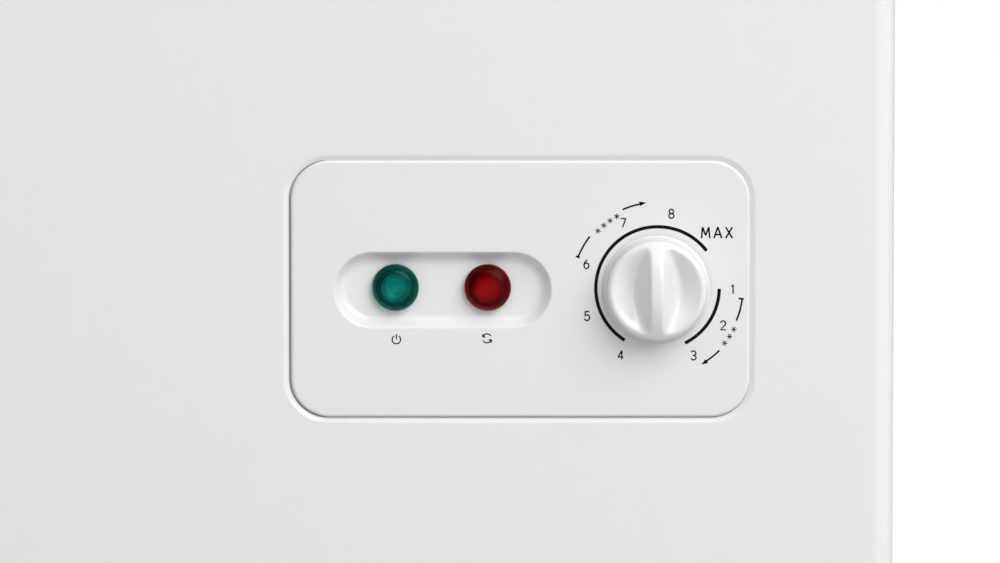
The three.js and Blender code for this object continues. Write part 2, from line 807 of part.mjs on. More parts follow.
// Obround hollow with a curved, sloping wall, or its outside where grown.
function lampPocket(grow, front, depth) {
  const wide = pocketWidth / 2 + grow;
  const tall = pocketHeight / 2 + grow;
  const rings = [[1, 1], [0.62, 0.86], [0.25, 0.42], [0, 0]].map(([slope, drop]) => {
    const inset = pocketSlope * slope;
    return [wide - inset, tall - inset, tall - inset, -depth * drop];
  });
  return facingFront(
    loft([...rings, [wide, tall, tall, front]], { segments: 4 }),
    pocketX,
    panelFace,
    controlZ,
  );
}

// Moulded fascia: rounded front edge, lamp pocket, knob bush hole and a clipping skirt behind.
function controlPanel() {
  const ring = (inset, depth) => [
    panelWidth / 2 - inset, panelHeight / 2 - inset, panelCorner - inset, -depth];
  const plate = facingFront(loft([
    ring(panelEdge, 0),
    ring(panelEdge * 0.3, panelEdge * 0.3),
    ring(0, panelEdge),
    ring(0, panelFlange),
  ]), panelX, panelFace, panelAboveFloor);
  const [skirtX, skirtZ, skirtRound] = controlOpening.map((size) => size - clearance);
  const wall = 2;
  const skirt = facingFront(loft([
    [skirtX, skirtZ, skirtRound, -panelFlange + 0.5],
    [skirtX, skirtZ, skirtRound, -skirtReach],
    [skirtX - wall, skirtZ - wall, skirtRound - wall, -skirtReach],
    [skirtX - wall, skirtZ - wall, skirtRound - wall, -panelFlange + 0.5],
  ], { segments: 3, loop: true }), panelX, panelFace, panelAboveFloor);
  const lampHoles = lampSpots.map((x) => (
    facingFront(bore(lampStem, [-20, 1], lampSides / 2), x, panelFace, controlZ)));
  const bushHole = facingFront(bore(bushRadius, [-20, 1], 12), knobX, panelFace, controlZ);
  return cut(
    join(plate, skirt, lampPocket(panelFlange - 0.5, -1, pocketDepth + panelFlange)),
    lampPocket(0, 1, pocketDepth),
    ...lampHoles,
    bushHole,
  );
}

// Domed, flanged lens whose stem passes through the pocket's floor.
function lampLens(x) {
  const seat = pocketDepth - clearance;
  const domeSteps = 3;
  const dome = [];
  for (let step = 0; step <= domeSteps; step += 1) {
    const angle = (step / domeSteps) * Math.PI / 2;
    dome.push([lampRadius * Math.cos(angle), -seat + 1 + (lampDome - 1) * Math.sin(angle)]);
  }
  return facingFront(turned([
    [0, -pocketDepth - panelFlange],
    [lampStem, -pocketDepth - panelFlange],
    [lampStem, -seat],
    [lampRadius, -seat],
    ...dome,
  ], lampSides), x, panelFace, controlZ);
}

// Neon indicator behind the lens, with its two blade terminals.
function lampBody(x) {
  const front = -pocketDepth - panelFlange - clearance;
  const can = rod(7, [front - 18, front], 12);
  const blades = [-3, 3].map((shift) => block(
    [shift - 0.4, shift + 0.4], [-2.4, 2.4], [front - 26, front - 17]));
  return facingFront(join(can, ...blades), x, panelFace, controlZ);
}

// Knob: a domed, skirted disc, hollowed on both sides of a grip bar. Hollow underneath, with a hub
// for the D-cut shaft.
function thermostatKnob() {
  const face = knobLift + knobHeight;
  const domeRadius = domeReach / Math.sin(domeSlope);
  const dome = Array.from({ length: 7 }, (_, i) => {
    const slope = domeSlope * (1 - i / 6);
    return [domeRadius * Math.sin(slope), face - domeRadius * (1 - Math.cos(slope))];
  });
  const shoulder = [knobRadius - 1.25, dome[0][1] - 1.4];
  const disc = turned([
    [0, knobLift],
    [knobRadius, knobLift],
    [knobRadius, knobLift + knobSkirt],
    [knobRadius - 0.3, knobLift + knobSkirt],
    shoulder,
    ...dome,
  ], 24);
  const outer = knobRadius - 1.2;
  const reach = (outer - knobGrip / 2) / 2;
  const hollow = (side) => new THREE.SphereGeometry(1, 12, 7)
    .scale(reach, hollowLength / 2, hollowDepth)
    .translate(side * (knobGrip / 2 + reach), 0, face + 0.2);
  const hub = 6;
  const underside = turned([
    [hub, knobLift - 1],
    [knobRadius - 2.6, knobLift - 1],
    [knobRadius - 3.4, knobLift + 3.6],
    [hub, knobLift + 3.6],
    [hub, knobLift - 1],
  ], 14);
  const shaftHole = bore(shaftRadius, [knobLift - 1, face - shaftSeat], 12);
  return facingFront(
    cut(disc, hollow(-1), hollow(1), underside, shaftHole),
    knobX,
    panelFace,
    controlZ,
  );
}

function thermostatShaft() {
  const round = rod(shaftRadius, [-6, knobLift + knobHeight - shaftSeat - clearance], 12);
  const flat = block([-9, 9], [shaftRadius * 0.5, 9], [knobLift, 30]);
  return facingFront(cut(round, flat), knobX, panelFace, controlZ);
}

// Switch body with its threaded bush, bellows and terminals. It fills the end of the shield.
const switchDepth = 30;
const bellowsDepth = 6;

function thermostatBody() {
  const front = -panelFlange - clearance;
  const rear = front - switchDepth;
  const wide = knobFromEdge - panelLap - boxGap - boxWall - 2;
  const tall = wide - 2;
  const tip = boxHalf[1] - boxWall - 6.5;
  const body = loft([[wide, tall, 3, rear], [wide, tall, 3, front]], { segments: 2 });
  const bush = rod(bushRadius, [front - 1, knobLift - clearance], 12);
  const bellows = rod(wide - 4, [rear - bellowsDepth, rear + 1], 14);
  const blades = [-0.6, 0.6].map((share) => block(
    [share * wide - 3, share * wide + 3], [tall, tip], [rear + 8, rear + 9]));
  const lugs = [-0.6, 0.6].map((share) => block(
    [share * wide - 3, share * wide + 3], [tall - 1, tall + 3], [rear + 6, rear + 11]));
  const shaftHole = bore(shaftRadius, [-9, knobLift + 1], 12);
  return facingFront(
    cut(join(body, bush, bellows, ...blades, ...lugs), shaftHole),
    knobX,
    panelFace,
    controlZ,
  );
}

// Sensing tube from the thermostat, straight out through the back of the box, then up to the flat
// of the liner's step.
const sensorX = linerX - linerEdge - 1.5 * capillaryTube;
const sensorRun = 50;
const sensorY = panelFace + panelFlange + 2 * clearance + switchDepth + bellowsDepth;

function sensorRoute() {
  const bulb = stepZ - clearance;
  return bentRoute([
    [knobX, sensorY, controlZ],
    [knobX, sensorY + sensorRun, controlZ],
    [sensorX, sensorY + sensorRun, bulb],
  ], 12, 3);
}

// Open-fronted box that shields the switchgear inside the bay, with a rim against the fascia.
function controlBox() {
  const wall = boxWall;
  const front = -skirtReach - clearance;
  const [wide, tall, round] = boxHalf;
  const outside = loft([[wide - 2, tall - 2, round, -boxDepth], [wide, tall, round, front]], { segments: 3 });
  const inside = loft([
    [wide - 2 - wall, tall - 2 - wall, round - wall, -boxDepth + wall],
    [wide - wall, tall - wall, round - wall, front + 1],
  ], { segments: 3 });
  const wireHole = bore(6, [-boxDepth - 1, -boxDepth + wall + 1], 10).translate(-40, 0, 0);
  const sensorHole = bore(capillaryTube + 1, [-boxDepth - 1, -boxDepth + wall + 1], 10)
    .translate(knobX - panelX, controlRow, 0);
  return facingFront(
    cut(outside, inside, wireHole, sensorHole),
    panelX,
    panelFace,
    panelAboveFloor,
  );
}

// ---------------------------------------------------------------------------------------------
// Vents, gland and drain
// ---------------------------------------------------------------------------------------------

// Louvred grille in the right-hand side of the bay: a flanged frame with raked blades.
function sideVentGrille() {
  const middleY = (vent.front + vent.back) / 2;
  const middleZ = (vent.low + vent.high) / 2;
  const halfY = (vent.back - vent.front) / 2 - clearance;
  const halfZ = (vent.high - vent.low) / 2 - clearance;
  const lap = 5;
  const face = 1.4;
  const { depth } = vent;
  const wall = 2.4;
  const flange = loft([
    [halfY + lap, halfZ + lap, vent.corner, clearance],
    [halfY + lap, halfZ + lap, vent.corner, clearance + face * 0.6],
    [halfY + lap - 0.6, halfZ + lap - 0.6, vent.corner - 0.6, clearance + face],
    [halfY - wall, halfZ - wall, 1, clearance + face],
    [halfY - wall, halfZ - wall, 1, clearance],
  ], { segments: 3, loop: true });
  const sleeve = cut(
    block([-halfY, halfY], [-halfZ, halfZ], [-depth, clearance + 0.5]),
    block([-halfY + wall, halfY - wall], [-halfZ + wall, halfZ - wall], [-depth - 1, 5]),
  );
  const count = 9;
  const pitch = (2 * (halfZ - wall)) / count;
  const blades = Array.from({ length: count }, (_, i) => (
    block([-halfY + wall - 0.5, halfY - wall + 0.5], [-1, 1], [-5.4, 5.4])
      .rotateX(THREE.MathUtils.degToRad(42))
      .translate(0, -halfZ + wall + (i + 0.5) * pitch, -depth / 2 + 0.6)));
  const basis = new THREE.Matrix4().makeBasis(
    new THREE.Vector3(0, 1, 0), new THREE.Vector3(0, 0, 1), new THREE.Vector3(1, 0, 0));
  return join(flange, sleeve, ...blades).applyMatrix4(basis).translate(halfWidth, middleY, middleZ);
}

const gland = { x: bayX + 60, z: panZ + 40, radius: 8 };

// Sheet cover over the back of the bay with hooded air slots.
function rearBayCover() {
  const left = bayX + bulkheadGauge + clearance;
  const low = panZ + 14 + clearance;
  const high = bayZ - bulkheadGauge - clearance;
  const right = halfWidth - sheetBend;
  const sheet = block([left, right], [innerY - sheetGauge, innerY], [low, high]);
  const columns = [left + 58, right - 58];
  const rows = Array.from({ length: 5 }, (_, i) => bayZ - 40 - i * 26);
  const spots = columns.flatMap((x) => rows.map((z) => [x, z]));
  const slots = spots.map(([x, z]) => block([x - 40, x + 40], [innerY - 5, innerY + 5], [z - 3.5, z + 3.5]));
  const hoods = spots.map(([x, z]) => railX([
    [innerY - 0.2, z + 8],
    [innerY + 4, z - 1],
    [innerY + 4, z - 2],
    [innerY - 0.2, z + 4.5],
  ], [x - 42, x + 42]));
  const glandHole = facingFront(bore(gland.radius, [-5, 5], 12), gland.x, innerY, gland.z);
  return cut(join(cut(sheet, ...slots), ...hoods), glandHole);
}

// Snap-in bush for the supply lead, open through its middle.
function cordGland() {
  const { radius } = gland;
  const throat = 4;
  return turned([
    [throat, -9],
    [radius, -9],
    [radius, clearance],
    [radius + 3, clearance],
    [radius + 2, 4],
    [throat, 4],
    [throat, -9],
  ], 12).rotateX(-Math.PI / 2).translate(gland.x, innerY, gland.z);
}

// Bent tube from the liner's floor, through the foam, to an outlet low on the front sheet. With
// an overrun its route goes on past both ends.
function drainRoute(overrun) {
  const route = bentRoute([
    [drain.x, drain.floorY, linerZ - clearance],
    [drain.x, drain.floorY, drain.outletZ],
    [drain.x, -halfDepth + sheetGauge, drain.outletZ],
  ], 14, 3);
  route[0].z += overrun;
  route[route.length - 1].y -= overrun;
  return route;
}

function drainTube() {
  const wall = 1.5;
  return cut(
    pipe(drainRoute(0), drain.radius, drainSides),
    pipe(drainRoute(1), drain.radius - wall, drainSides),
  );
}

// Push-in stopper in the liner's floor, with a pull tab.
function drainPlugInner() {
  const floor = linerZ + linerGauge;
  const seal = turned([
    [0, -8],
    [drain.radius - 3, -8],
    [drain.radius - 2, -1],
    [drain.radius - 2, clearance],
    [drain.radius + 6, clearance],
    [drain.radius + 5, 3],
    [0, 3],
  ], 16);
  const tab = railY([[-2, 2], [2, 2], [2, 9], [-2, 9]], [-7, 7]);
  return join(seal, tab).translate(drain.x, drain.floorY, floor);
}

// Cap over the drain's outlet: a ribbed disc with a hollow spigot inside the tube.
function drainCapOuter() {
  const disc = turned([
    [0, clearance],
    [drain.radius + 5, clearance],
    [drain.radius + 5, 5],
    [drain.radius + 3, 7],
    [0, 7],
  ], 20);
  const spigot = turned([
    [drain.radius - 4.5, -14],
    [drain.radius - 2.5, -14],
    [drain.radius - 2, clearance + 0.5],
    [drain.radius - 4.5, clearance + 0.5],
    [drain.radius - 4.5, -14],
  ], 16);
  const grip = block([-1.5, 1.5], [-drain.radius, drain.radius], [6, 10]);
  return facingFront(join(disc, spigot, grip), drain.x, -halfDepth, drain.outletZ);
}

// ---------------------------------------------------------------------------------------------
// Lid
// ---------------------------------------------------------------------------------------------

const lidCorner = sheetBend + lidOverhang;
const lidSegments = 3;
const lidPanelGauge = 1.5;

// A ring of the lid: an inset from its edge, a corner radius and a height.
function lidRing(inset, z, corner = lidCorner) {
  return [lidHalfWidth - inset, lidHalfDepth - inset, Math.max(corner - inset, 1.5), z];
}

// The lid's outside, or the same form a skin's thickness in: rounded over at the top and
// crowned a little towards the middle.
function lidForm(skin, bottom) {
  const corner = lidCorner - skin;
  const round = [];
  for (let step = 0; step <= 4; step += 1) {
    const angle = (step / 4) * Math.PI / 2;
    const inset = (lidEdge - skin) * (1 - Math.cos(angle)) + skin;
    const z = lidTop - 2 - lidEdge + (lidEdge - skin) * Math.sin(angle);
    round.push([lidHalfWidth - inset, lidHalfDepth - inset, corner + 6 * (step / 4), z]);
  }
  return loft([
    [lidHalfWidth - skin, lidHalfDepth - skin, corner, bottom],
    ...round,
    [lidHalfWidth - 90, lidHalfDepth - 90, 30, lidTop - skin],
  ], { segments: lidSegments }).translate(0, lidY, 0);
}

function lidOuter() {
  return cut(lidForm(0, lidBottom), lidForm(lidSkin, lidBottom - 1));
}

// Vacuum-formed inner panel: a flat border behind the gasket and a raised field.
function lidInnerPanel() {
  const edge = lidSkin + clearance;
  const gauge = lidPanelGauge;
  const field = (grow, low, top) => loft([
    lidRing(dikeInset + 14 - grow, low, 30 + dikeInset),
    lidRing(dikeInset + 10 - grow, low + gauge, 34 + dikeInset),
    lidRing(dikeInset - grow, top, 34 + dikeInset),
  ], { segments: lidSegments }).translate(0, lidY, 0);
  const border = loft([
    lidRing(edge, lidBottom),
    lidRing(edge, lidBottom + gauge),
  ], { segments: lidSegments }).translate(0, lidY, 0);
  const low = lidBottom - dikeDrop;
  return cut(
    join(border, field(0, low, lidBottom + 0.5)),
    field(-gauge, low + gauge, lidBottom + gauge + 1),
  );
}

function lidFoam() {
  const low = lidBottom - dikeDrop + lidPanelGauge + clearance;
  const border = lidBottom + lidPanelGauge + clearance;
  const body = lidForm(lidSkin + clearance, border);
  const field = loft([
    lidRing(dikeInset + 18, low, 34 + dikeInset),
    lidRing(dikeInset + 6, border + 1, 34 + dikeInset),
  ], { segments: lidSegments }).translate(0, lidY, 0);
  return join(body, field);
}

// Extruded magnetic-type gasket: a dart side, a bellows and a bulb, mitred at the corners.
function lidGasket() {
  const top = lidBottom - clearance;
  const low = cabinetHeight + clearance;
  const profile = [
    [0, top], [0, top - 1.6], [2.4, top - 2.6], [1.4, low + 2.4], [3, low], [gasketWidth - 2, low],
    [gasketWidth, low + 2.2], [gasketWidth - 1.6, top - 2.4], [gasketWidth, top - 1.2],
    [gasketWidth, top],
  ];
  const rings = profile.map(([across, z]) => lidRing(gasketInset + across, z, 40));
  return loft(rings, { loop: true, segments: lidSegments }).translate(0, lidY, 0);
}

// Moulded pull on the front of the lid, hollowed underneath for the fingers.
function lidHandle() {
  const back = lidFront - clearance;
  const mid = lidBottom + 22;
  const pull = railX([
    [back, mid - 16],
    [back - 4, mid - 17],
    [back - 10, mid - 14],
    [back - handleReach + 2, mid - 6],
    [back - handleReach, mid + 2],
    [back - handleReach + 3, mid + 9],
    [back - 8, mid + 14],
    [back, mid + 16],
  ], [-handleWidth / 2, handleWidth / 2]);
  const fingers = loft([
    [handleWidth / 2 - 10, 4.6, 4, mid - 20],
    [handleWidth / 2 - 14, 3.6, 3, mid + 6],
  ], { segments: 3 }).translate(0, back - 7.4, 0);
  const endTaper = [-1, 1].map((side) => (
    block([-20, 20], [-20, 20], [-30, 30])
      .rotateZ(side * THREE.MathUtils.degToRad(24))
      .translate(side * (handleWidth / 2 + 17), back - 20, mid)));
  return cut(pull, fingers, ...endTaper);
}

// ---------------------------------------------------------------------------------------------
// Sprung hinges. A cam on the leaf bears down on a plunger that a spring pushes up, so the spring
// carries most of the lid's weight. The cam is an involute: its flat follower moves by the same
// amount for each degree of lid.
// ---------------------------------------------------------------------------------------------

const cheekInside = camWidth / 2 + clearance;
const cheekReach = 12;
const housingBack = -pinSetback + clearance; // front face of the housing, from the pin
const housingFloor = -hingeLength;
const plungerTop = -camRest - clearance;
const plungerFront = housingBack + hingeGauge + clearance;
const plungerRear = 5;
const plungerY = (plungerFront + plungerRear) / 2;
const springRadius = cheekInside - springWire - springPlay;

// Outline of the cam in Y and Z from the pin's centre, over the opening's sweep.
function camOutline() {
  const outline = [];
  const steps = 7;
  for (let i = 0; i <= steps; i += 1) {
    const turn = (i / steps) * lidOpening;
    const reach = camRest - camRise * turn;
    outline.push([
      reach * Math.sin(turn) - camRise * Math.cos(turn),
      -reach * Math.cos(turn) - camRise * Math.sin(turn),
    ]);
  }
  return outline;
}

function hingeLeaf(x) {
  const boss = 8;
  const plate = housingBack + hingeGauge;
  const cam = railX([
    ...camOutline(),
    [boss, 0],
    [boss * 0.7, boss * 0.7],
    [0, boss],
    [housingBack + 1, 24],
    [housingBack + 1, 12],
    [-boss, 0],
    [-camRise - 3, -camRest * 0.6],
  ], [-camWidth / 2, camWidth / 2]);
  const strap = railX([
    [housingBack, lidBottom - pinZ + 3],
    [plate, lidBottom - pinZ + 3],
    [plate, lidThickness - lidEdge - 4 + lidBottom - pinZ],
    [housingBack, lidThickness - lidEdge - 4 + lidBottom - pinZ],
  ], [-hingeWidth / 2, hingeWidth / 2]);
  const pinHole = bore(pinRadius, [-camWidth, camWidth], 12).rotateY(Math.PI / 2);
  return cut(join(cam, strap), pinHole).translate(x, pinY, pinZ);
}

// Pressed channel screwed to the back: two cheeks that carry the pin and guide the plunger.
function hingeBase(x) {
  const outside = cheekInside + hingeGauge;
  const plateTop = shellTop - trimSkirt - 2 * clearance - pinZ;
  const side = [
    [housingBack, housingFloor],
    [cheekReach, housingFloor],
    [cheekReach, -10],
    [8, 2],
    [4, 7],
    [-4, 7],
    [-9, 2],
    [-14, -14],
    [trimLip + 2 * clearance - pinSetback, plateTop],
    [housingBack, plateTop],
  ];
  const body = railX(side, [-outside, outside]);
  const plate = railX([
    [housingBack, housingFloor - 12],
    [housingBack + hingeGauge, housingFloor - 12],
    [housingBack + hingeGauge, plateTop],
    [housingBack, plateTop],
  ], [-outside - 12, outside + 12]);
  const channel = block(
    [-cheekInside, cheekInside],
    [housingBack + hingeGauge, cheekReach - hingeGauge],
    [housingFloor + hingeGauge, 20],
  );
  const mouth = block([-cheekInside, cheekInside], [housingBack - 1, cheekReach + 1], [-18, 20]);
  const pinHole = bore(pinRadius, [-outside - 1, outside + 1], 12).rotateY(Math.PI / 2);
  return cut(join(body, plate), channel, mouth, pinHole).translate(x, pinY, pinZ);
}

function hingePin(x) {
  const half = cheekInside + hingeGauge + clearance;
  const pin = turned([
    [0, -half - 2.5],
    [pinRadius + 2, -half - 2.5],
    [pinRadius + 2, -half],
    [pinRadius, -half],
    [pinRadius, half + 1],
    [pinRadius + 1.5, half + 1],
    [pinRadius + 1.5, half + 2.5],
    [0, half + 2.5],
  ], 12).rotateY(Math.PI / 2);
  return pin.translate(x, pinY, pinZ);
}

// Square plunger with a flat head and a spigot that centres the spring.
function hingePlunger(x) {
  const wide = cheekInside - clearance;
  const body = block(
    [-wide, wide],
    [plungerFront, plungerRear],
    [plungerTop - plungerLength, plungerTop],
  );
  const foot = plungerTop - plungerLength;
  const spigot = rod(springRadius - springWire - 1.2, [foot - 8, foot + 1], 10)
    .translate(0, plungerY, 0);
  const window = block([-wide - 1, wide + 1], [plungerY - 4, plungerY + 4], [foot + 7, plungerTop - 5]);
  return cut(join(body, spigot), window).translate(x, pinY, pinZ);
}

const springFoot = housingFloor + hingeGauge + clearance + springWire;
const springHead = plungerTop - plungerLength - clearance - springWire;

function hingeSpring(x) {
  const stepsPerTurn = 6;
  const count = springTurns * stepsPerTurn;
  const stations = Array.from({ length: count + 1 }, (_, i) => {
    const angle = (i / stepsPerTurn) * 2 * Math.PI;
    return new THREE.Vector3(
      x + springRadius * Math.cos(angle),
      pinY + plungerY + springRadius * Math.sin(angle),
      pinZ + THREE.MathUtils.lerp(springFoot, springHead, i / count),
    );
  });
  return pipe(stations, springWire, 4);
}

// ---------------------------------------------------------------------------------------------
// Basket: welded wire, hung by its ends from the front and back rails
// ---------------------------------------------------------------------------------------------

function basket() {
  const railTop = cabinetHeight - railDrop;
  const cavity = halfDepth - linerY + linerGauge; // liner's inside face, from the cabinet's side
  const railEdge = halfDepth - cavity - clearance - railReach;
  const reach = railEdge + railReach * 0.6;
  const wire = basketWire;
  const top = railTop + clearance + wire;
  const low = top - basketHeight;
  const deep = railEdge - basketMargin;
  const wide = basketWidth / 2;
  const right = linerX - linerGauge - 2 * railReach;
  const hoop = loft(Array.from({ length: 4 }, (_, i) => {
    const angle = ((i + 0.5) / 4) * 2 * Math.PI;
    const out = wire * Math.cos(angle);
    return [wide + out, deep + out, basketCorner + out, top + wire * Math.sin(angle)];
  }), { loop: true, segments: 2 });
  const footX = wide - basketTaper;
  const footY = deep - basketTaper;
  const across = [-0.72, -0.24, 0.24, 0.72].map((share) => share * wide);
  const along = [-0.66, -0.22, 0.22, 0.66].map((share) => share * deep);
  const wires = [
    ...across.map((x) => [[x, -deep, top], [x, -footY, low], [x, footY, low], [x, deep, top]]),
    ...along.map((y) => [[-wide, y, top], [-footX, y, low], [footX, y, low], [wide, y, top]]),
  ].map((corners) => pipe(bentRoute(corners, basketBend, 1), wire * 0.8, 4));
  const hooks = [-0.5, 0.5].flatMap((share) => [-1, 1].map((side) => (
    pipe(bentRoute([
      [share * wide, side * deep, top],
      [share * wide, side * reach, top],
      [share * wide + basketHook, side * reach, top],
      [share * wide + basketHook, side * deep, top],
    ], basketBend, 1), wire, 4))));
  return join(hoop, ...wires, ...hooks).translate(right - wide, 0, 0);
}

// ---------------------------------------------------------------------------------------------
// Assembly
// ---------------------------------------------------------------------------------------------

const evaporator = evaporatorRoute();
const condenser = condenserRoute();
const sensor = sensorRoute();
const grooveSides = 4;
const grooveRadius = (tube) => (tube + clearance) / Math.cos(Math.PI / grooveSides);
const pipeHoles = [
  pipe(evaporator, grooveRadius(evaporatorTube), grooveSides),
  pipe(condenser, grooveRadius(condenserTube), grooveSides),
  pipe(sensor, grooveRadius(capillaryTube), grooveSides),
];
const drainWell = pipe(drainRoute(5), drain.radius + clearance, drainSides);

place('outer_shell', outerShell(), 'enamel');
place('back_panel', backPanel(), 'enamel');
place('base_pan', cut(basePan(0), drainWell), 'galvanised');
place('compressor_base', compressorBase(), 'galvanised');
place('bay_bulkhead', bayBulkhead(pipeHoles), 'galvanised');
place('foam_insulation', foamInsulation([...pipeHoles, drainWell]), 'foam');
place('inner_liner', innerLiner(), 'aluminium');
place('rim_trim', rimTrim(), 'abs');

const feetX = halfWidth - footInset;
const feetY = halfDepth - footInset;
place('foot_front_left', foot(-feetX, -feetY), 'blackPlastic');
place('foot_front_right', foot(feetX, -feetY), 'blackPlastic');
place('foot_rear_left', foot(-feetX, feetY), 'blackPlastic');
place('foot_rear_right', foot(feetX, feetY), 'blackPlastic');

place('evaporator_coil', pipe(evaporator, evaporatorTube, 5), 'aluminium');
place('condenser_coil', pipe(condenser, condenserTube, 5), 'copper');
place('compressor', compressor(), 'blackSteel');
grommetSpots.forEach((spot, i) => {
  place(`compressor_grommet_${i + 1}`, compressorGrommet(spot), 'rubber');
});
place('relay_cover', relayCover(), 'blackPlastic');
place('discharge_pipe', dischargePipe(), 'copper');
place('suction_pipe', suctionPipe(), 'copper');
place('filter_drier', filterDrier(), 'copper');

place('control_panel', controlPanel(), 'abs');
place('power_lamp_lens', lampLens(lampSpots[0]), 'greenLens');
place('run_lamp_lens', lampLens(lampSpots[1]), 'redLens');
place('power_lamp_body', lampBody(lampSpots[0]), 'blackPlastic');
place('run_lamp_body', lampBody(lampSpots[1]), 'blackPlastic');
place('thermostat_knob', thermostatKnob(), 'abs');
place('thermostat_shaft', thermostatShaft(), 'springSteel');
place('thermostat_body', thermostatBody(), 'galvanised');
place('thermostat_capillary', pipe(sensor, capillaryTube), 'copper');
place('control_box', controlBox(), 'blackPlastic');

place('side_vent_grille', sideVentGrille(), 'abs');
place('rear_bay_cover', rearBayCover(), 'galvanised');
place('cord_gland', cordGland(), 'blackPlastic');
place('drain_tube', drainTube(), 'abs');
place('drain_plug_inner', drainPlugInner(), 'rubber');
place('drain_cap_outer', drainCapOuter(), 'abs');

place('lid_outer', lidOuter(), 'enamel');
place('lid_inner_panel', lidInnerPanel(), 'abs');
place('lid_foam', lidFoam(), 'foam');
place('lid_gasket', lidGasket(), 'gasket');
place('lid_handle', lidHandle(), 'abs');

[['hinge_left', -hingeSpacing / 2], ['hinge_right', hingeSpacing / 2]].forEach(([side, x]) => {
  place(`${side}_base`, hingeBase(x), 'galvanised');
  place(`${side}_pin`, hingePin(x), 'springSteel');
  place(`${side}_leaf`, hingeLeaf(x), 'galvanised');
  place(`${side}_plunger`, hingePlunger(x), 'abs');
  place(`${side}_spring`, hingeSpring(x), 'springSteel');
});

place('basket', basket(), 'enamel');

// The origin is under the middle of everything, from the handle's front to the hinges' backs.
const frontReach = lidFrontOverhang + clearance + handleReach;
const rearReach = pinSetback + cheekReach;
freezer.position.y = (frontReach - rearReach) / 2;

export default freezer;
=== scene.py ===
import bmesh
import bpy
import numpy as np
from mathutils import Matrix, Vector


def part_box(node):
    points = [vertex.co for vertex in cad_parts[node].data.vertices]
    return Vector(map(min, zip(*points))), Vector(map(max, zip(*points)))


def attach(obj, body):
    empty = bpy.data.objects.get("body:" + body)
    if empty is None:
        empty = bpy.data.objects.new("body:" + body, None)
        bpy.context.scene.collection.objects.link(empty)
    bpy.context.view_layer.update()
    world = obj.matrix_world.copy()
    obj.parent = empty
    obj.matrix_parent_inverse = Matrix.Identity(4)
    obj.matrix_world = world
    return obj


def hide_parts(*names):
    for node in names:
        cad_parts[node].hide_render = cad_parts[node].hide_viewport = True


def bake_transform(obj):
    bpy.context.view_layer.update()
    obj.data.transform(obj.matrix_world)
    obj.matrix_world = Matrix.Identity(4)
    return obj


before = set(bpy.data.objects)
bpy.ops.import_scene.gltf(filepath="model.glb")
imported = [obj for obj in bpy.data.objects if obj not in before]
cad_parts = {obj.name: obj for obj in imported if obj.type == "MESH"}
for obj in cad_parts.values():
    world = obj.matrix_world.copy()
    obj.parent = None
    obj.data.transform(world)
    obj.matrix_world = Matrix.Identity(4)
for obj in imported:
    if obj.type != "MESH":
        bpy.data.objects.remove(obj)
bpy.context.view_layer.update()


# --- Outer cabinet ------------------------------------------------------------------------------
# One length of prepainted steel sheet, wrapped round the front and both ends with bent corners. The
# panel's seat is stamped, the vent and drain openings are pierced, and the edges are turned in.

mm = 0.001


def linear(code):
    """An sRGB hex colour as the linear numbers that a shader takes."""
    part = np.array([int(code[i:i + 2], 16) for i in (0, 2, 4)]) / 255
    part = np.where(part <= 0.04045, part / 12.92, ((part + 0.055) / 1.055) ** 2.4)
    return (*part.tolist(), 1.0)


def add(tree, kind, inputs={}, **settings):
    """Adds one shader node; an input is a number, a colour or the socket that feeds it."""
    made = tree.nodes.new("ShaderNode" + kind)
    for key, value in settings.items():
        setattr(made, key, value)
    for key, value in inputs.items():
        if isinstance(value, bpy.types.NodeSocket):
            tree.links.new(value, made.inputs[key])
        else:
            made.inputs[key].default_value = value
    return made


def blank(name):
    """An empty node material and its tree."""
    made = bpy.data.materials.new(name)
    made.use_nodes = True
    made.node_tree.nodes.clear()
    return made, made.node_tree


def finished(made, shader):
    """The material, with its shader joined to the output."""
    add(made.node_tree, "OutputMaterial", {"Surface": shader.outputs[0]})
    return made


def coated(made, inputs):
    """The material, as one principled layer with these inputs."""
    return finished(made, add(made.node_tree, "BsdfPrincipled", inputs))


def noise(tree, scale, detail=2.0):
    """A soft noise over the object's own coordinates, with this many cells to a metre."""
    place = add(tree, "TexCoord")
    return add(tree, "TexNoise", {"Vector": place.outputs["Object"], "Scale": scale,
                                  "Detail": detail}).outputs["Fac"]


def spread(tree, share, low, high):
    """A number between two, by a share from nought to one."""
    return add(tree, "MapRange", {"Value": share, "To Min": low, "To Max": high}).outputs["Result"]


def bumped(tree, height, strength, depth):
    """The normal over a relief of this depth."""
    return add(tree, "Bump", {"Height": height, "Strength": strength,
                              "Distance": depth}).outputs["Normal"]


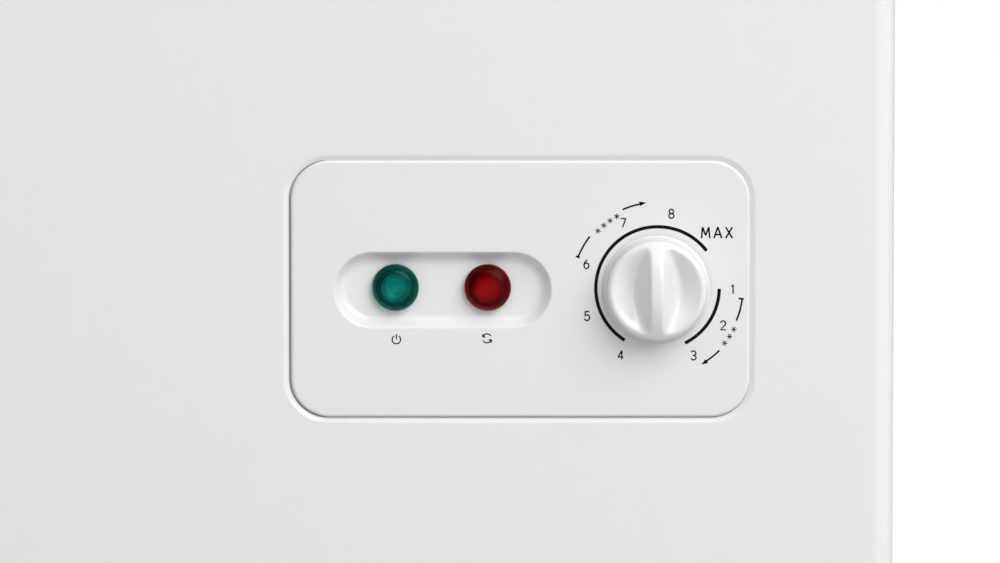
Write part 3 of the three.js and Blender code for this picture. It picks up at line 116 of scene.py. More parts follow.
def surface(name, grids, material, facing=None, sheet=0.0, smooth=35.0, weld=2e-6, flats=False):
    """A mesh of quads over grids of points, each (rows, columns, 3) in metres. Points that meet
    are welded and the faces turned outwards, or towards facing; sheet gives it a wall inwards, and
    flats keeps broad faces evenly lit up to their bends."""
    points = np.concatenate([grid.reshape(-1, 3) for grid in grids])
    faces, start = [], 0
    for grid in grids:
        rows, columns = grid.shape[:2]
        at = np.arange(rows * columns).reshape(rows, columns) + start
        quads = np.stack([at[:-1, :-1], at[:-1, 1:], at[1:, 1:], at[1:, :-1]], -1)
        faces.append(quads.reshape(-1, 4))
        start += rows * columns
    faces = np.concatenate(faces)
    mesh = bpy.data.meshes.new(name)
    mesh.vertices.add(len(points))
    mesh.vertices.foreach_set("co", points.ravel())
    mesh.loops.add(faces.size)
    mesh.loops.foreach_set("vertex_index", faces.ravel())
    mesh.polygons.add(len(faces))
    mesh.polygons.foreach_set("loop_start", np.arange(0, faces.size, 4))
    mesh.update(calc_edges=True)
    form = bmesh.new()
    form.from_mesh(mesh)
    bmesh.ops.remove_doubles(form, verts=form.verts, dist=weld)
    bmesh.ops.dissolve_degenerate(form, edges=form.edges, dist=weld / 2)
    bmesh.ops.recalc_face_normals(form, faces=form.faces)
    form.to_mesh(mesh)
    form.free()
    count = len(mesh.polygons)
    centre, normal, area = np.zeros(3 * count), np.zeros(3 * count), np.zeros(count)
    mesh.polygons.foreach_get("center", centre)
    mesh.polygons.foreach_get("normal", normal)
    mesh.polygons.foreach_get("area", area)
    centre, normal = centre.reshape(-1, 3), normal.reshape(-1, 3) * area[:, None]
    away = centre - np.average(centre, axis=0, weights=area) if facing is None else np.array(facing)
    if (normal * away).sum() < 0:
        mesh.flip_normals()
    mesh.shade_smooth()
    mesh.set_sharp_from_angle(angle=np.radians(smooth))
    mesh.materials.append(material)
    made = bpy.data.objects.new(name, mesh)
    bpy.context.scene.collection.objects.link(made)
    if sheet:
        wall = made.modifiers.new("wall", "SOLIDIFY")
        wall.thickness = sheet
        wall.offset = -1
        wall.use_even_offset = True
    if flats:
        made.modifiers.new("flats", "WEIGHTED_NORMAL").keep_sharp = True
    return made


def fasten(piece, body, slot, *nodes):
    """Rides the piece on a body, in place of these CAD nodes, which it hides. The slot is not used.
    """
    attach(piece, body)
    if nodes:
        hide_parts(*nodes)


def ends(node):
    """The lowest and highest corners of a CAD node, as arrays."""
    low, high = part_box(node)
    return np.array(low), np.array(high)


def centre_of(low, high):
    """The centre of a box, in x and z."""
    return (low[0] + high[0]) / 2, (low[2] + high[2]) / 2


def paired(*parts):
    """Points from their coordinates, any of which may be one number for them all."""
    return np.stack(np.broadcast_arrays(*parts), -1)


def arc(cx, cz, wide, tall, start, stop, steps=10):
    """Points along part of an ellipse, between two angles in degrees."""
    angle = np.radians(np.linspace(start, stop, steps + 1))
    return np.stack([cx + wide * np.cos(angle), cz + tall * np.sin(angle)], -1)


def rectangle(low, high, corner=0.0):
    """A rounded rectangle between two points: its centre, half sizes and corner radius."""
    (x0, z0), (x1, z1) = low, high
    return (x0 + x1) / 2, (z0 + z1) / 2, (x1 - x0) / 2, (z1 - z0) / 2, corner


def reach(angles, origin, shape):
    """Points where rays from an origin meet a rounded rectangle: found by halving on the signed
    distance to its outline."""
    cx, cz, wide, tall, corner = shape
    ray = np.stack([np.cos(angles), np.sin(angles)], -1)
    near, far = np.zeros(len(angles)), np.full(len(angles), 4.0 * (wide + tall) + 1.0)
    for _ in range(48):
        half = (near + far) / 2
        at = np.abs(np.array(origin) + ray * half[:, None] - (cx, cz))
        at -= (wide - corner, tall - corner)
        outside = np.hypot(*np.maximum(at, 0).T) + np.minimum(at.max(-1), 0) - corner
        near, far = np.where(outside < 0, half, near), np.where(outside < 0, far, half)
    return np.array(origin) + ray * near[:, None]


def turns(origin, points):
    """The directions of points from an origin, sorted round it."""
    flat = np.asarray(points) - np.array(origin)
    return np.unique(np.round(np.arctan2(flat[:, 1], flat[:, 0]), 9))


def outline(shape, steps):
    """Points round a rounded rectangle: steps to each corner's arc and three along each side."""
    cx, cz, wide, tall, corner = shape
    ring = np.concatenate([
        arc(cx + sx * (wide - corner), cz + sz * (tall - corner), corner, corner, start, start + 90,
            steps) for start, sx, sz in ((0, 1, 1), (90, -1, 1), (180, -1, -1), (270, 1, -1))])
    ahead = np.roll(ring, -1, axis=0)
    long = np.hypot(*(ahead - ring).T) > 2.5 * corner * np.pi / (2 * steps)
    share = np.array([0.25, 0.5, 0.75])[:, None, None]
    between = (ring[long] + share * (ahead[long] - ring[long])).reshape(-1, 2)
    return np.concatenate([ring, between])


def grown(shape, out):
    """The same rounded rectangle with its outline moved outwards."""
    cx, cz, wide, tall, corner = shape
    return cx, cz, wide + out, tall + out, max(corner + out, 0.0)


def patch(directions, origin, levels):
    """A grid whose rows run round an origin, each on a rounded rectangle at its depth in y."""
    rows = []
    for shape, y in levels:
        ring = reach(directions, origin, shape)
        ring = np.concatenate([ring, ring[:1]])
        rows.append(paired(ring[:, 0], y, ring[:, 1]))
    return np.stack(rows)


def corners(field):
    """The four corners of a rectangle."""
    cx, cz, wide, tall, _ = field
    return np.array([[cx + sx * wide, cz + sz * tall] for sx in (-1, 1) for sz in (-1, 1)])


def on_line(points, x):
    """The heights of the points that lie on an upright line."""
    return points[np.abs(points[:, 0] - x) < 1e-7][:, 1]


def rows_on(points, x):
    """The same heights, sorted and each given once."""
    return np.unique(np.round(on_line(points, x), 9))


def upright(plan, heights):
    """A wall over a plan of points (x, y), carried up through the heights."""
    plan = np.asarray(plan)
    return paired(plan[:, :1], plan[:, 1:], heights)


# A smooth semi-gloss coat; a shallow orange peel, 3 mm across, breaks up its reflections.
enamel, tree = blank("Polyester-painted steel, roller-coated")
enamel = coated(enamel, {
    "Base Color": linear("e5e5e5"), "IOR": 1.5,
    "Roughness": spread(tree, noise(tree, 6.0), 0.27, 0.33),
    "Normal": bumped(tree, noise(tree, 340.0, 1.0), 0.35, 0.00004)})

shell_low, shell_high = ends("outer_shell")
panel_low, panel_high = ends("control_panel")
vent_low, vent_high = ends("side_vent_grille")
cap_low, cap_high = ends("drain_cap_outer")
sheet_gauge, sheet_bend, sheet_flange, hem_radius = 1 * mm, 7 * mm, 16 * mm, 1.6 * mm
panel_corner, drain_radius, vent_lap, vent_corner = 12.5 * mm, 9.5 * mm, 5 * mm, 1 * mm
front = shell_low[1]
edge_x = shell_high[0] - sheet_bend
side_front, side_rear = front + sheet_bend, shell_high[1] - sheet_bend
bottom, top = shell_low[2] + hem_radius, shell_high[2]
split = 0.0

# Three flat fields, each round its own opening: the front's two halves and the right-hand end, in
# whose drawing x runs along y.
panel_shape = rectangle(panel_low[::2], panel_high[::2], panel_corner)
panel_origin = panel_shape[:2]
right_field = rectangle((split, bottom), (edge_x, top))
drain_origin = centre_of(cap_low, cap_high)
drain_shape = (*drain_origin, drain_radius, drain_radius, drain_radius)
left_field = rectangle((-edge_x, bottom), (split, top))
vent_shape = rectangle(vent_low[1:] + vent_lap, vent_high[1:] - vent_lap, vent_corner)
vent_origin = vent_shape[:2]
side_field = rectangle((side_front, bottom), (side_rear, top))

# Where two fields meet, each takes the other's rows, so that their points weld.
side_turns = turns(vent_origin, np.concatenate([outline(vent_shape, 3), corners(side_field)]))
corner_rows = on_line(reach(side_turns, vent_origin, side_field), side_front)
right_turns = turns(panel_origin, np.concatenate([
    outline(panel_shape, 20), corners(right_field), paired(edge_x, corner_rows)]))
left_turns = turns(drain_origin, np.concatenate([outline(drain_shape, 8), corners(left_field)]))
seam = paired(split, np.concatenate([
    on_line(reach(right_turns, panel_origin, right_field), split),
    on_line(reach(left_turns, drain_origin, left_field), split)]))
right_turns = np.unique(np.concatenate([right_turns, turns(panel_origin, seam)]))
left_turns = np.unique(np.concatenate([left_turns, turns(drain_origin, seam)]))
right_edge = reach(right_turns, panel_origin, right_field)
left_edge = reach(left_turns, drain_origin, left_field)
seam = paired(side_front, rows_on(right_edge, edge_x))
side_turns = np.unique(np.concatenate([side_turns, turns(vent_origin, seam)]))
side_edge = reach(side_turns, vent_origin, side_field)
side_rows, rear_rows = rows_on(side_edge, side_front), rows_on(side_edge, side_rear)
left_rows = rows_on(left_edge, -edge_x)

# The stamping, from its flat seat out to the sheet's face: how far out from the panel's edge, and
# how deep. A steep wall stands close to the panel, under a shallow ramp that runs out to the face.
ring_out = np.array([-5, -0.12, -0.08, -0.02, 0.08, 0.3, 1.2, 1.5, 1.75, 2.1, 12]) * mm
ring_deep = np.array([2.2, 2.2, 1.1, 0.9, 0.78, 0.66, 0.22, 0.1, 0.03, 0, 0]) * mm
border = 2 * mm
front_right = patch(right_turns, panel_origin, [
    *[(grown(panel_shape, out), front + deep) for out, deep in zip(ring_out, ring_deep)],
    (grown(right_field, -border), front), (right_field, front)])
front_left = patch(left_turns, drain_origin, [(shape, front) for shape in (
    drain_shape, grown(drain_shape, border), grown(left_field, -border), left_field)])
right_end = patch(side_turns, vent_origin, [(shape, shell_high[0]) for shape in (
    vent_shape, grown(vent_shape, border), grown(side_field, -border), side_field)])[..., [1, 0, 2]]

# The four upright bends and the left-hand end, with a flange at the back of each end.
right_bend, right_back, left_back, left_bend = [
    arc(x, y, sheet_bend, sheet_bend, start, start + 90) for x, y, start in (
        (edge_x, side_front, -90), (edge_x, side_rear, 0), (-edge_x, side_rear, 90),
        (-edge_x, side_front, 180))]
right_flange = [[shell_high[0] - sheet_flange, shell_high[1]]]
left_flange = [[shell_low[0] + sheet_flange, shell_high[1]]]
bends = [
    upright(right_bend, side_rows),
    upright(left_bend[::-1], left_rows),
    upright([[shell_low[0], side_front], [shell_low[0], side_rear]], left_rows),
    upright(np.concatenate([right_back, right_flange]), rear_rows),
    upright(np.concatenate([left_back[::-1], left_flange]), left_rows),
]

# The bottom edge rolls under to a turned-in flange.
bottom_y = on_line(side_edge[:, ::-1], bottom)
bottom_x = np.concatenate([on_line(edge[:, ::-1], bottom) for edge in (left_edge, right_edge)])
plan = np.concatenate([
    left_flange, left_back, left_bend, paired(np.sort(bottom_x), front), right_bend,
    paired(shell_high[0], np.sort(bottom_y)), right_back, right_flange])
plan = plan[np.concatenate([[True], np.hypot(*np.diff(plan, axis=0).T) > 1e-7])]
inward = np.clip(plan, (-edge_x, side_front), (edge_x, side_rear)) - plan
inward /= np.hypot(*inward.T)[:, None]
roll = np.linspace(0, np.pi / 2, 6)
hem_in = [*hem_radius * (1 - np.cos(roll)), sheet_flange]
hem_z = [*bottom - hem_radius * np.sin(roll), shell_low[2]]
hem = np.stack([paired(*(plan + inward * into).T, z) for into, z in zip(hem_in, hem_z)])

shell = surface("cabinet_sheet", [front_left, front_right, right_end, *bends, hem], enamel,
                sheet=sheet_gauge, flats=True)
fasten(shell, "cabinet", "white_enamel", "outer_shell")


# --- Control panel ------------------------------------------------------------------------------
# Injection-moulded white ABS fascia, clipped through the sheet into its stamped seat. The front
# edge is rounded, and a dished obround pocket holds the two lamps. The scale is screen-printed.

def tones(tree, share, dark, light, start=0.0, stop=1.0):
    """A colour between two, by a share from nought to one."""
    ramp = add(tree, "ValToRGB", {"Fac": share})
    for place, where, code in zip(ramp.color_ramp.elements, (start, stop), (dark, light)):
        place.position, place.color = where, linear(code)
    return ramp.outputs["Color"]


# The mould's polish gives a wet gloss with a trace of flow in it and no grain.
abs_gloss, tree = blank("White ABS, moulded and polished")
flow = noise(tree, 90.0)
abs_gloss = coated(abs_gloss, {
    "Base Color": linear("e4e4e4"), "IOR": 1.52, "Roughness": spread(tree, flow, 0.2, 0.26),
    "Normal": bumped(tree, flow, 0.2, 0.00005)})

face = panel_low[1]
flange, edge_round = 2.3 * mm, 1.0 * mm
# It sits up and to the right in its seat, by half the play.
fascia_shape = (panel_shape[0] + 0.32 * mm, panel_shape[1] + 0.12 * mm,
                panel_shape[2] - 0.36 * mm, panel_shape[3] - 0.14 * mm, panel_corner)
pocket_depth, pocket_wall, pocket_half, pocket_radius = 3.5 * mm, 1.8 * mm, 35.0 * mm, 12.3 * mm
pocket_origin = (panel_low[0] + 49.4 * mm, panel_origin[1] - 0.2 * mm)
pocket_shape = (*pocket_origin, pocket_half, pocket_radius, pocket_radius)

# The pocket's wall is a small convex lip, a straight flank, then a large concave foot.
lip_radius, foot_radius, lip_in = 0.8 * mm, 3.6 * mm, 0.3 * mm
wall_turn = np.radians(52)
lip = np.linspace(0, wall_turn, 8)
foot = np.linspace(wall_turn, 0, 14)
flank_deep = pocket_depth - (lip_radius + foot_radius) * (1 - np.cos(wall_turn))
total_in = (lip_radius + foot_radius) * np.sin(wall_turn) + flank_deep / np.tan(wall_turn)
wall_in = np.concatenate([lip_radius * np.sin(lip), total_in - foot_radius * np.sin(foot)]) - lip_in
wall_deep = np.concatenate([lip_radius * (1 - np.cos(lip)),
                            pocket_depth - foot_radius * (1 - np.cos(foot))])

# From the middle of the pocket's back, over the flange and the rounded edge, to its floor.
edge_turn = np.linspace(0, np.pi / 2, 7)
edge_out, edge_deep = edge_round * (np.cos(edge_turn) - 1), edge_round * (1 - np.sin(edge_turn))
point = (*pocket_origin, 0.0, 0.0, 0.0)
fascia = [
    (point, pocket_depth + pocket_wall), (grown(pocket_shape, -2 * mm), pocket_depth + pocket_wall),
    (grown(pocket_shape, 1.5 * mm), flange), (grown(fascia_shape, -2 * mm), flange),
    (fascia_shape, flange), (fascia_shape, flange - 0.1 * mm),
    *[(grown(fascia_shape, out), deep) for out, deep in zip(edge_out, edge_deep)],
    (grown(fascia_shape, edge_out[-1] - 0.1 * mm), 0), (grown(pocket_shape, 0.6 * mm), 0),
    *[(grown(pocket_shape, -into), deep) for into, deep in zip(wall_in, wall_deep)],
    (grown(pocket_shape, -wall_in[-1] - 0.3 * mm), pocket_depth), (point, pocket_depth),
]
fascia_turns = turns(pocket_origin, np.concatenate([outline(pocket_shape, 40),
                                                    outline(fascia_shape, 20)]))
panel = surface("control_fascia", [patch(fascia_turns, pocket_origin, [
    (shape, face + deep) for shape, deep in fascia])], abs_gloss)
fasten(panel, "cabinet", "white_abs", "control_panel")

# Dense ink with a dull face, hardly thicker than the paint and a little uneven in tone.
ink, tree = blank("Black ink, screen-printed")
ink = coated(ink, {"Base Color": tones(tree, noise(tree, 3000.0), "020202", "0c0c0c"),
                   "Roughness": 0.6, "IOR": 1.48, "Specular IOR Level": 0.12})
ink_film = 0.03 * mm


def printed(name, shapes):
    """Flat grids of points in x and z, printed on the fascia's face."""
    grids = [paired(flat[..., 0], face - ink_film, flat[..., 1]) for flat in shapes]
    piece = surface(name, grids, ink, facing=(0, -1, 0), weld=1e-8)
    fasten(piece, "cabinet", "black_plastic")


def strokes(name, lines, width, origin):
    """Printed lines as flat ribbons: each point of a line is moved half the width to either side,
    square to the line's run there and further at a turn."""
    ribbons = []
    for line in lines:
        line = np.asarray(line, float) * mm
        run = np.diff(line, axis=0)
        run /= np.hypot(*run.T)[:, None]
        before = np.concatenate([run[:1], run])
        after = np.concatenate([run, run[-1:]])
        side = np.stack([-(before + after)[:, 1], (before + after)[:, 0]], -1)
        side /= np.maximum((side ** 2).sum(-1), 1.0)[:, None] / 2
        pair = line[None] + side[None] * (np.array([-0.5, 0.5]) * width * mm)[:, None, None]
        ribbons.append(pair + np.array(origin))
    printed(name, ribbons)


# Digits, letters and signs as strokes of one pen, in a cell one unit high.
glyphs = {
    "1": [[(0.14, 0.8), (0.32, 1)], [(0.32, 1), (0.32, 0)]],
    "2": [[*arc(0.3, 0.72, 0.28, 0.28, 175, -35), (0.02, 0), (0.6, 0)]],
    "3": [[*arc(0.28, 0.74, 0.26, 0.26, 160, -80), (0.2, 0.5)],
          [(0.2, 0.5), *arc(0.28, 0.25, 0.28, 0.25, 80, -165)]],
    "4": [[(0.44, 0), (0.44, 1)], [(0.44, 1), (0.02, 0.28)], [(0.02, 0.28), (0.6, 0.28)]],
    "5": [[(0.52, 1), (0.1, 1), (0.06, 0.54), *arc(0.28, 0.32, 0.29, 0.32, 125, -160, 14)]],
    "6": [arc(0.3, 0.3, 0.27, 0.3, 0, 360, 20), arc(0.62, 0.3, 0.59, 0.7, 180, 112, 8)],
    "7": [[(0.02, 1), (0.56, 1)], [(0.56, 1), (0.2, 0)]],
    "8": [arc(0.29, 0.75, 0.23, 0.25, 0, 360, 18), arc(0.29, 0.26, 0.28, 0.26, 0, 360, 20)],
    "M": [[(0, 0), (0.08, 1)], [(0.08, 1), (0.36, 0.25)], [(0.36, 0.25), (0.64, 1)],
          [(0.64, 1), (0.72, 0)]],
    "A": [[(0, 0), (0.34, 1)], [(0.34, 1), (0.68, 0)], [(0.12, 0.33), (0.56, 0.33)]],
    "X": [[(0, 0), (0.6, 1)], [(0, 1), (0.6, 0)]],
    "snow": [[(0, 0.5), (1, 0.5)], [(0.25, 0.07), (0.75, 0.93)], [(0.25, 0.93), (0.75, 0.07)]],
    "power": [arc(0.5, 0.44, 0.44, 0.44, 122, 418, 24), [(0.5, 0.45), (0.5, 1)]],
    "fan": [arc(0.5, 0.5, 0.47, 0.47, 30, 160), arc(0.5, 0.5, 0.47, 0.47, 210, 340),
            [(0.06, 0.93), (0.06, 0.66), (0.32, 0.66)], [(0.94, 0.07), (0.94, 0.34), (0.68, 0.34)]],
}


def written(sign, at, height, turn=0.0):
    """A sign's strokes, centred on a point in millimetres, at a height and turned by degrees."""
    lines = [np.asarray(line, float) for line in glyphs[sign]]
    every = np.concatenate(lines)
    centre = np.array([(every[:, 0].min() + every[:, 0].max()) / 2, 0.5])
    c, s = np.cos(np.radians(turn)), np.sin(np.radians(turn))
    return [(line - centre) * height @ np.array([[c, s], [-s, c]]) + at for line in lines]


def on_ring(radius, angle):
    """The point at an angle in degrees on a ring round the knob."""
    return arc(0, 0, radius, radius, angle, angle, 0)[0]


def ring_arc(radius, start, stop, steps=8):
    """Part of a ring round the knob."""
    return arc(0, 0, radius, radius, start, stop, steps)


knob_low, knob_high = ends("thermostat_knob")
knob_origin = centre_of(knob_low, knob_high)
# The print sits 0.3 mm to the right of the knob's axis. Each of its parts has signs or lines in
# millimetres from there and a pen's width.
dial_origin = (knob_origin[0] + 0.3 * mm, knob_origin[1])
numbers = (("8", 4.4, 24.0), ("7", -11.0, 21.0), ("6", -22.8, 7.8), ("5", -22.6, -9.0),
           ("4", -11.8, -21.6), ("3", 11.6, -21.7), ("2", 21.1, -12.0), ("1", 24.0, -0.35))
maximum = (("M", 15.4, 17.9), ("A", 19.3, 17.9), ("X", 22.9, 17.9))
frost = [*[(on_ring(26.6, angle), angle - 90) for angle in (136, 130.5, 125, 119.5)],
         *[(on_ring(27.9, angle), angle + 90) for angle in (-28.5, -34, -39.5)]]
dial = (
    ("dial_ring", [ring_arc(19.8, 37.5, 238, 120), ring_arc(19.8, -63.5, -0.5, 50)], 1.1),
    ("dial_numbers", [line for sign, x, z in numbers for line in written(sign, (x, z), 2.9)], 0.44),
    ("dial_maximum", [line for sign, x, z in maximum for line in written(sign, (x, z), 3.6)], 0.54),
    ("dial_brackets", [
        [on_ring(28.2, 158.5), on_ring(26.8, 158.5)], ring_arc(27.4, 158.5, 142.5),
        ring_arc(27.7, 114, 101), [on_ring(27.9, -7.2), on_ring(26.2, -7.2)],
        ring_arc(27.4, -7.2, -22.5), ring_arc(28.3, -45.2, -57)], 0.58),
    ("dial_frost_marks", [line for at, turn in frost for line in written("snow", at, 1.9, turn)],
     0.28),
)
for name, lines, width in dial:
    strokes(name, lines, width, dial_origin)
for sign, x, z in (("power", -39.5, -16.0), ("fan", -10.4, -15.8)):
    origin = np.array([x, z]) * mm + panel_origin
    strokes("caption_" + sign, written(sign, (0, 0), 3.1), 0.4, origin)

# Arrowheads: filled triangles, drawn as two edges that meet at the tip.
head_half, heads = 0.75, []
for radius, tip, tail in ((27.8, 97.5, 102), (28.4, -60.5, -56)):
    tips = [on_ring(radius, tip)] * 2
    tails = [on_ring(radius + head_half, tail), on_ring(radius - head_half, tail)]
    heads.append(np.array([tips, tails]) * mm + np.array(dial_origin))
printed("dial_arrowheads", heads)


# --- Indicator lamps ----------------------------------------------------------------------------
# Two neon lamps behind flanged polycarbonate lenses, green and red, pushed into the pocket's floor.
# Each lens is tinted, moulded with a stepped and ribbed inside face under a clear polished dome.

lens_radius, dome_rise, rib_pitch = 7.6 * mm, 3.5 * mm, 0.55 * mm


def lathe(radii, depths, origin, y, steps=96):
    """A profile turned round an axis along y through the origin: radius and depth behind y."""
    angle = np.linspace(0, 2 * np.pi, steps + 1)
    radii, depths = np.asarray(radii)[:, None], np.asarray(depths)[:, None]
    return paired(origin[0] + radii * np.cos(angle), y + depths, origin[1] + radii * np.sin(angle))


def joined(tree, first, second, operation):
    """One number from two, by an operation."""
    return add(tree, "Math", {0: first, 1: second}, operation=operation).outputs[0]


def tinted_with_painted_light(name, deep, bright, centre):
    """Tinted polycarbonate with light painted into its colour: deep where it is thick, in the ring
    round the disc, and brightest in the disc and low on the side away from the light, where what
    passed through comes out.
    That low bright side and the bright bands are painted light; the deep ring is the tint's own
    depth."""
    made, tree = blank(name)
    place = add(tree, "TexCoord")
    moved = add(tree, "Mapping", {
        "Vector": place.outputs["Object"], "Scale": (1 / lens_radius,) * 3,
        "Location": (-centre[0] / lens_radius, 0, -centre[1] / lens_radius)})
    flat = add(tree, "VectorMath", {0: moved.outputs[0], 1: (1, 0, 1)}, operation="MULTIPLY")
    away = add(tree, "VectorMath", {0: flat.outputs["Vector"]}, operation="LENGTH")
    band = add(tree, "ValToRGB", {"Fac": away.outputs["Value"]})
    # Tones by distance from the axis: the bright bands at the disc's edge and on the outer rim are
    # painted highlights, and the deep ring is the tint where it is thick.
    stops = ((0.0, 0.5), (0.12, 0.7), (0.22, 0.4), (0.34, 0.66), (0.46, 0.5), (0.58, 0.85),
             (0.66, 0.0), (0.76, 0.08), (0.83, 0.7), (0.9, 0.85), (0.95, 0.3), (1.0, 0.05))
    for where, _ in stops[2:]:
        band.color_ramp.elements.new(where)
    for stop, (where, grey) in zip(band.color_ramp.elements, stops):
        stop.position, stop.color = where, (grey, grey, grey, 1)
    # Painted light: the colour lifts towards the lower left, away from the light, and falls towards
    # the upper right.
    painted_lean = add(tree, "VectorMath", {0: flat.outputs["Vector"], 1: (-0.5, 0, -0.85)},
               operation="DOT_PRODUCT")
    lit = add(tree, "MapRange", {"Value": painted_lean.outputs["Value"], "From Min": -0.9,
                                 "From Max": 0.9, "To Min": 0.35, "To Max": 1.35})
    share = joined(tree, band.outputs["Color"], lit.outputs["Result"], "MULTIPLY")
    share = joined(tree, share, spread(tree, noise(tree, 420.0), 0.7, 1.3), "MULTIPLY")
    return coated(made, {"Base Color": tones(tree, share, deep, bright), "Roughness": 0.3,
                         "Metallic": 0.4, "Specular IOR Level": 0.05})


# Polished and colourless, bloomed face-on: reflections show only towards its edge.
clear, tree = blank("Clear polycarbonate, polished")
bend_light = add(tree, "MapRange", {"Value": add(tree, "Fresnel", {"IOR": 1.46}).outputs["Fac"],
                                    "From Min": 0.036, "To Min": 0.004})
through = add(tree, "BsdfTransparent", {"Color": linear("ffffff")})
shine = add(tree, "BsdfGlossy", {"Color": linear("ffffff"), "Roughness": 0.04})
clear = finished(clear, add(tree, "MixShader", {
    "Fac": bend_light.outputs["Result"], 1: through.outputs[0], 2: shine.outputs[0]}))

# The inside face's step: radii as shares of the lens's own, and depths behind its crown.
step_share = [0.63, 0.655, 0.69, 0.72, 0.75, 0.79, 0.84, 0.89, 0.93, 0.955, 0.955, 0]
step_deep = np.array([1.15, 2.9, 3.1, 3.15, 3.1, 2.98, 2.8, 2.6, 2.45, 2.5, 6.0, 6.0]) * mm
rim_share = np.array([0.955, 0.985, 0.985, 0.955, 0.955])
rim_behind = np.array([2.55, 2.75, 4.4, 4.4, 2.55]) * mm
disc = np.linspace(0, 0.61, 90)
rise = np.linspace(np.pi / 2, 0, 22)
for lamp, slot, deep, bright, rib in (
        ("power", "green_lens", "00403c", "06b8aa", 0.022 * mm),
        ("run", "red_lens", "440002", "d00206", 0.006 * mm)):
    low, high = ends(lamp + "_lamp_lens")
    origin = centre_of(low, high)
    # The tint has painted light in it: bright bands and a lift towards the lower left.
    tint = tinted_with_painted_light(slot.replace("_", " ").capitalize() + " polycarbonate, moulded", deep, bright,
                  origin)
    ribbed = rib * np.cos(2 * np.pi * disc * lens_radius / rib_pitch) * (disc < 0.5)
    disc_deep = 1.75 * mm - 0.75 * mm * (disc / disc[-1]) ** 3 + ribbed
    core = lathe(np.append(disc, step_share) * lens_radius, np.append(disc_deep, step_deep),
                 origin, low[1])
    fasten(surface(lamp + "_lens_core", [core], tint), "cabinet", slot, lamp + "_lamp_lens")
    dome = lathe([*lens_radius * np.cos(rise), lens_radius, lens_radius - 0.25 * mm],
                 [*dome_rise * (1 - np.sin(rise)), dome_rise + 1 * mm, dome_rise + 1 * mm],
                 origin, low[1])
    fasten(surface(lamp + "_lens_dome", [dome], clear), "cabinet", slot)
    rim = lathe(rim_share * lens_radius, rim_behind, origin, low[1])
    fasten(surface(lamp + "_lens_rim", [rim], tint), "cabinet", slot)


# --- Thermostat knob ----------------------------------------------------------------------------
# Moulded white ABS knob pushed on to the thermostat's shaft. Its domed face is hollowed on both
# sides of a straight grip bar, and a thin skirt runs round its foot.

dome_reach, dome_slope = 15.2 * mm, np.radians(41)
dome_radius = dome_reach / np.sin(dome_slope)
grip_half, hollow_edge = 1.9 * mm, 14.6 * mm
bar_slope, rim_slope = 1.75, 1.25


def knob_face(x, z):
    """How far the face lies behind the crown: a sphere's cap, less two hollows whose depth grows
    straight from the grip bar and from a circle near the rim, blended where the two meet."""
    radius = np.hypot(x, z)
    cap = dome_radius - np.sqrt(dome_radius ** 2 - radius ** 2)
    soft, edge = 1.7 * mm, 0.35 * mm
    by_bar = bar_slope * (np.abs(x) - grip_half)
    by_rim = rim_slope * (hollow_edge - radius)
    deep = -soft * np.logaddexp(-by_bar / soft, -by_rim / soft)
    return cap + edge * np.logaddexp(0, deep / edge)


# The face on a polar grid, then a rounded shoulder, the flared side, the skirt and the back.
angle = np.linspace(0, 2 * np.pi, 361)
radius = np.linspace(0, dome_reach, 90)[:, None]
x, z = radius * np.cos(angle), radius * np.sin(angle)
cap = paired(x + knob_origin[0], knob_low[1] + knob_face(x, z), z + knob_origin[1])
shoulder = np.linspace(dome_slope, np.radians(84), 8)[1:]
shoulder_radius = 2.0 * mm
drop = dome_radius * (1 - np.cos(dome_slope))
skirt = np.array([[16.75, 12.85], [16.85, 13], [17, 13], [17.1, 13.1], [17.1, 14], [15, 14],
                  [15, 11.5], [0, 11.5]]) * mm
side_r = dome_reach + shoulder_radius * (np.sin(shoulder) - np.sin(dome_slope))
side_d = drop + shoulder_radius * (np.cos(dome_slope) - np.cos(shoulder))
side = lathe(np.append(side_r, skirt[:, 0]), np.append(side_d, skirt[:, 1]), knob_origin,
             knob_low[1], 360)
knob = surface("thermostat_grip", [np.concatenate([cap, side])], abs_gloss, smooth=60)
fasten(knob, "knob", "white_abs", "thermostat_knob")


# --- Back, base and machine bay -----------------------------------------------------------------
# Pressed and folded steel: a prepainted back with two beads, galvanised pans under the foam and the
# compressor, a folded bulkhead and the polyurethane foamed between them, which skins over.

def dressed(material, bevel, *names):
    """Gives kept CAD nodes a finish and breaks their sharp edges with a small bevel."""
    for name in names:
        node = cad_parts[name]
        for held in node.material_slots:
            held.material = material
        if not node.material_slots:
            node.data.materials.append(material)
        if bevel:
            node.modifiers.new("weld", "WELD").merge_threshold = 0.00001
            edge = node.modifiers.new("edge", "BEVEL")
            edge.width, edge.segments, edge.angle_limit = bevel, 2, np.radians(38)
            edge.harden_normals = True


def moulded(name, dark, light, rough, scale, depth):
    """A moulded or coated skin: two near tones in a fine noise, whose relief breaks its sheen."""
    made, tree = blank(name)
    grain = noise(tree, scale, 3.0)
    return coated(made, {"Base Color": tones(tree, grain, dark, light, 0.35, 0.65),
                         "Roughness": rough, "Normal": bumped(tree, grain, 0.6, depth)})


# Zinc crystals a centimetre across, each with its own tone: flat grey with a cold sparkle.
galvanised, tree = blank("Hot-dip galvanised steel, spangled")
place = add(tree, "TexCoord")
spangle = add(tree, "TexVoronoi", {"Vector": place.outputs["Object"], "Scale": 95.0})
crystal = add(tree, "RGBToBW", {"Color": spangle.outputs["Color"]}).outputs["Val"]
galvanised = coated(galvanised, {
    "Base Color": tones(tree, crystal, "a9adaf", "c6cacc"), "Metallic": 1.0,
    "Roughness": spread(tree, crystal, 0.32, 0.52)})

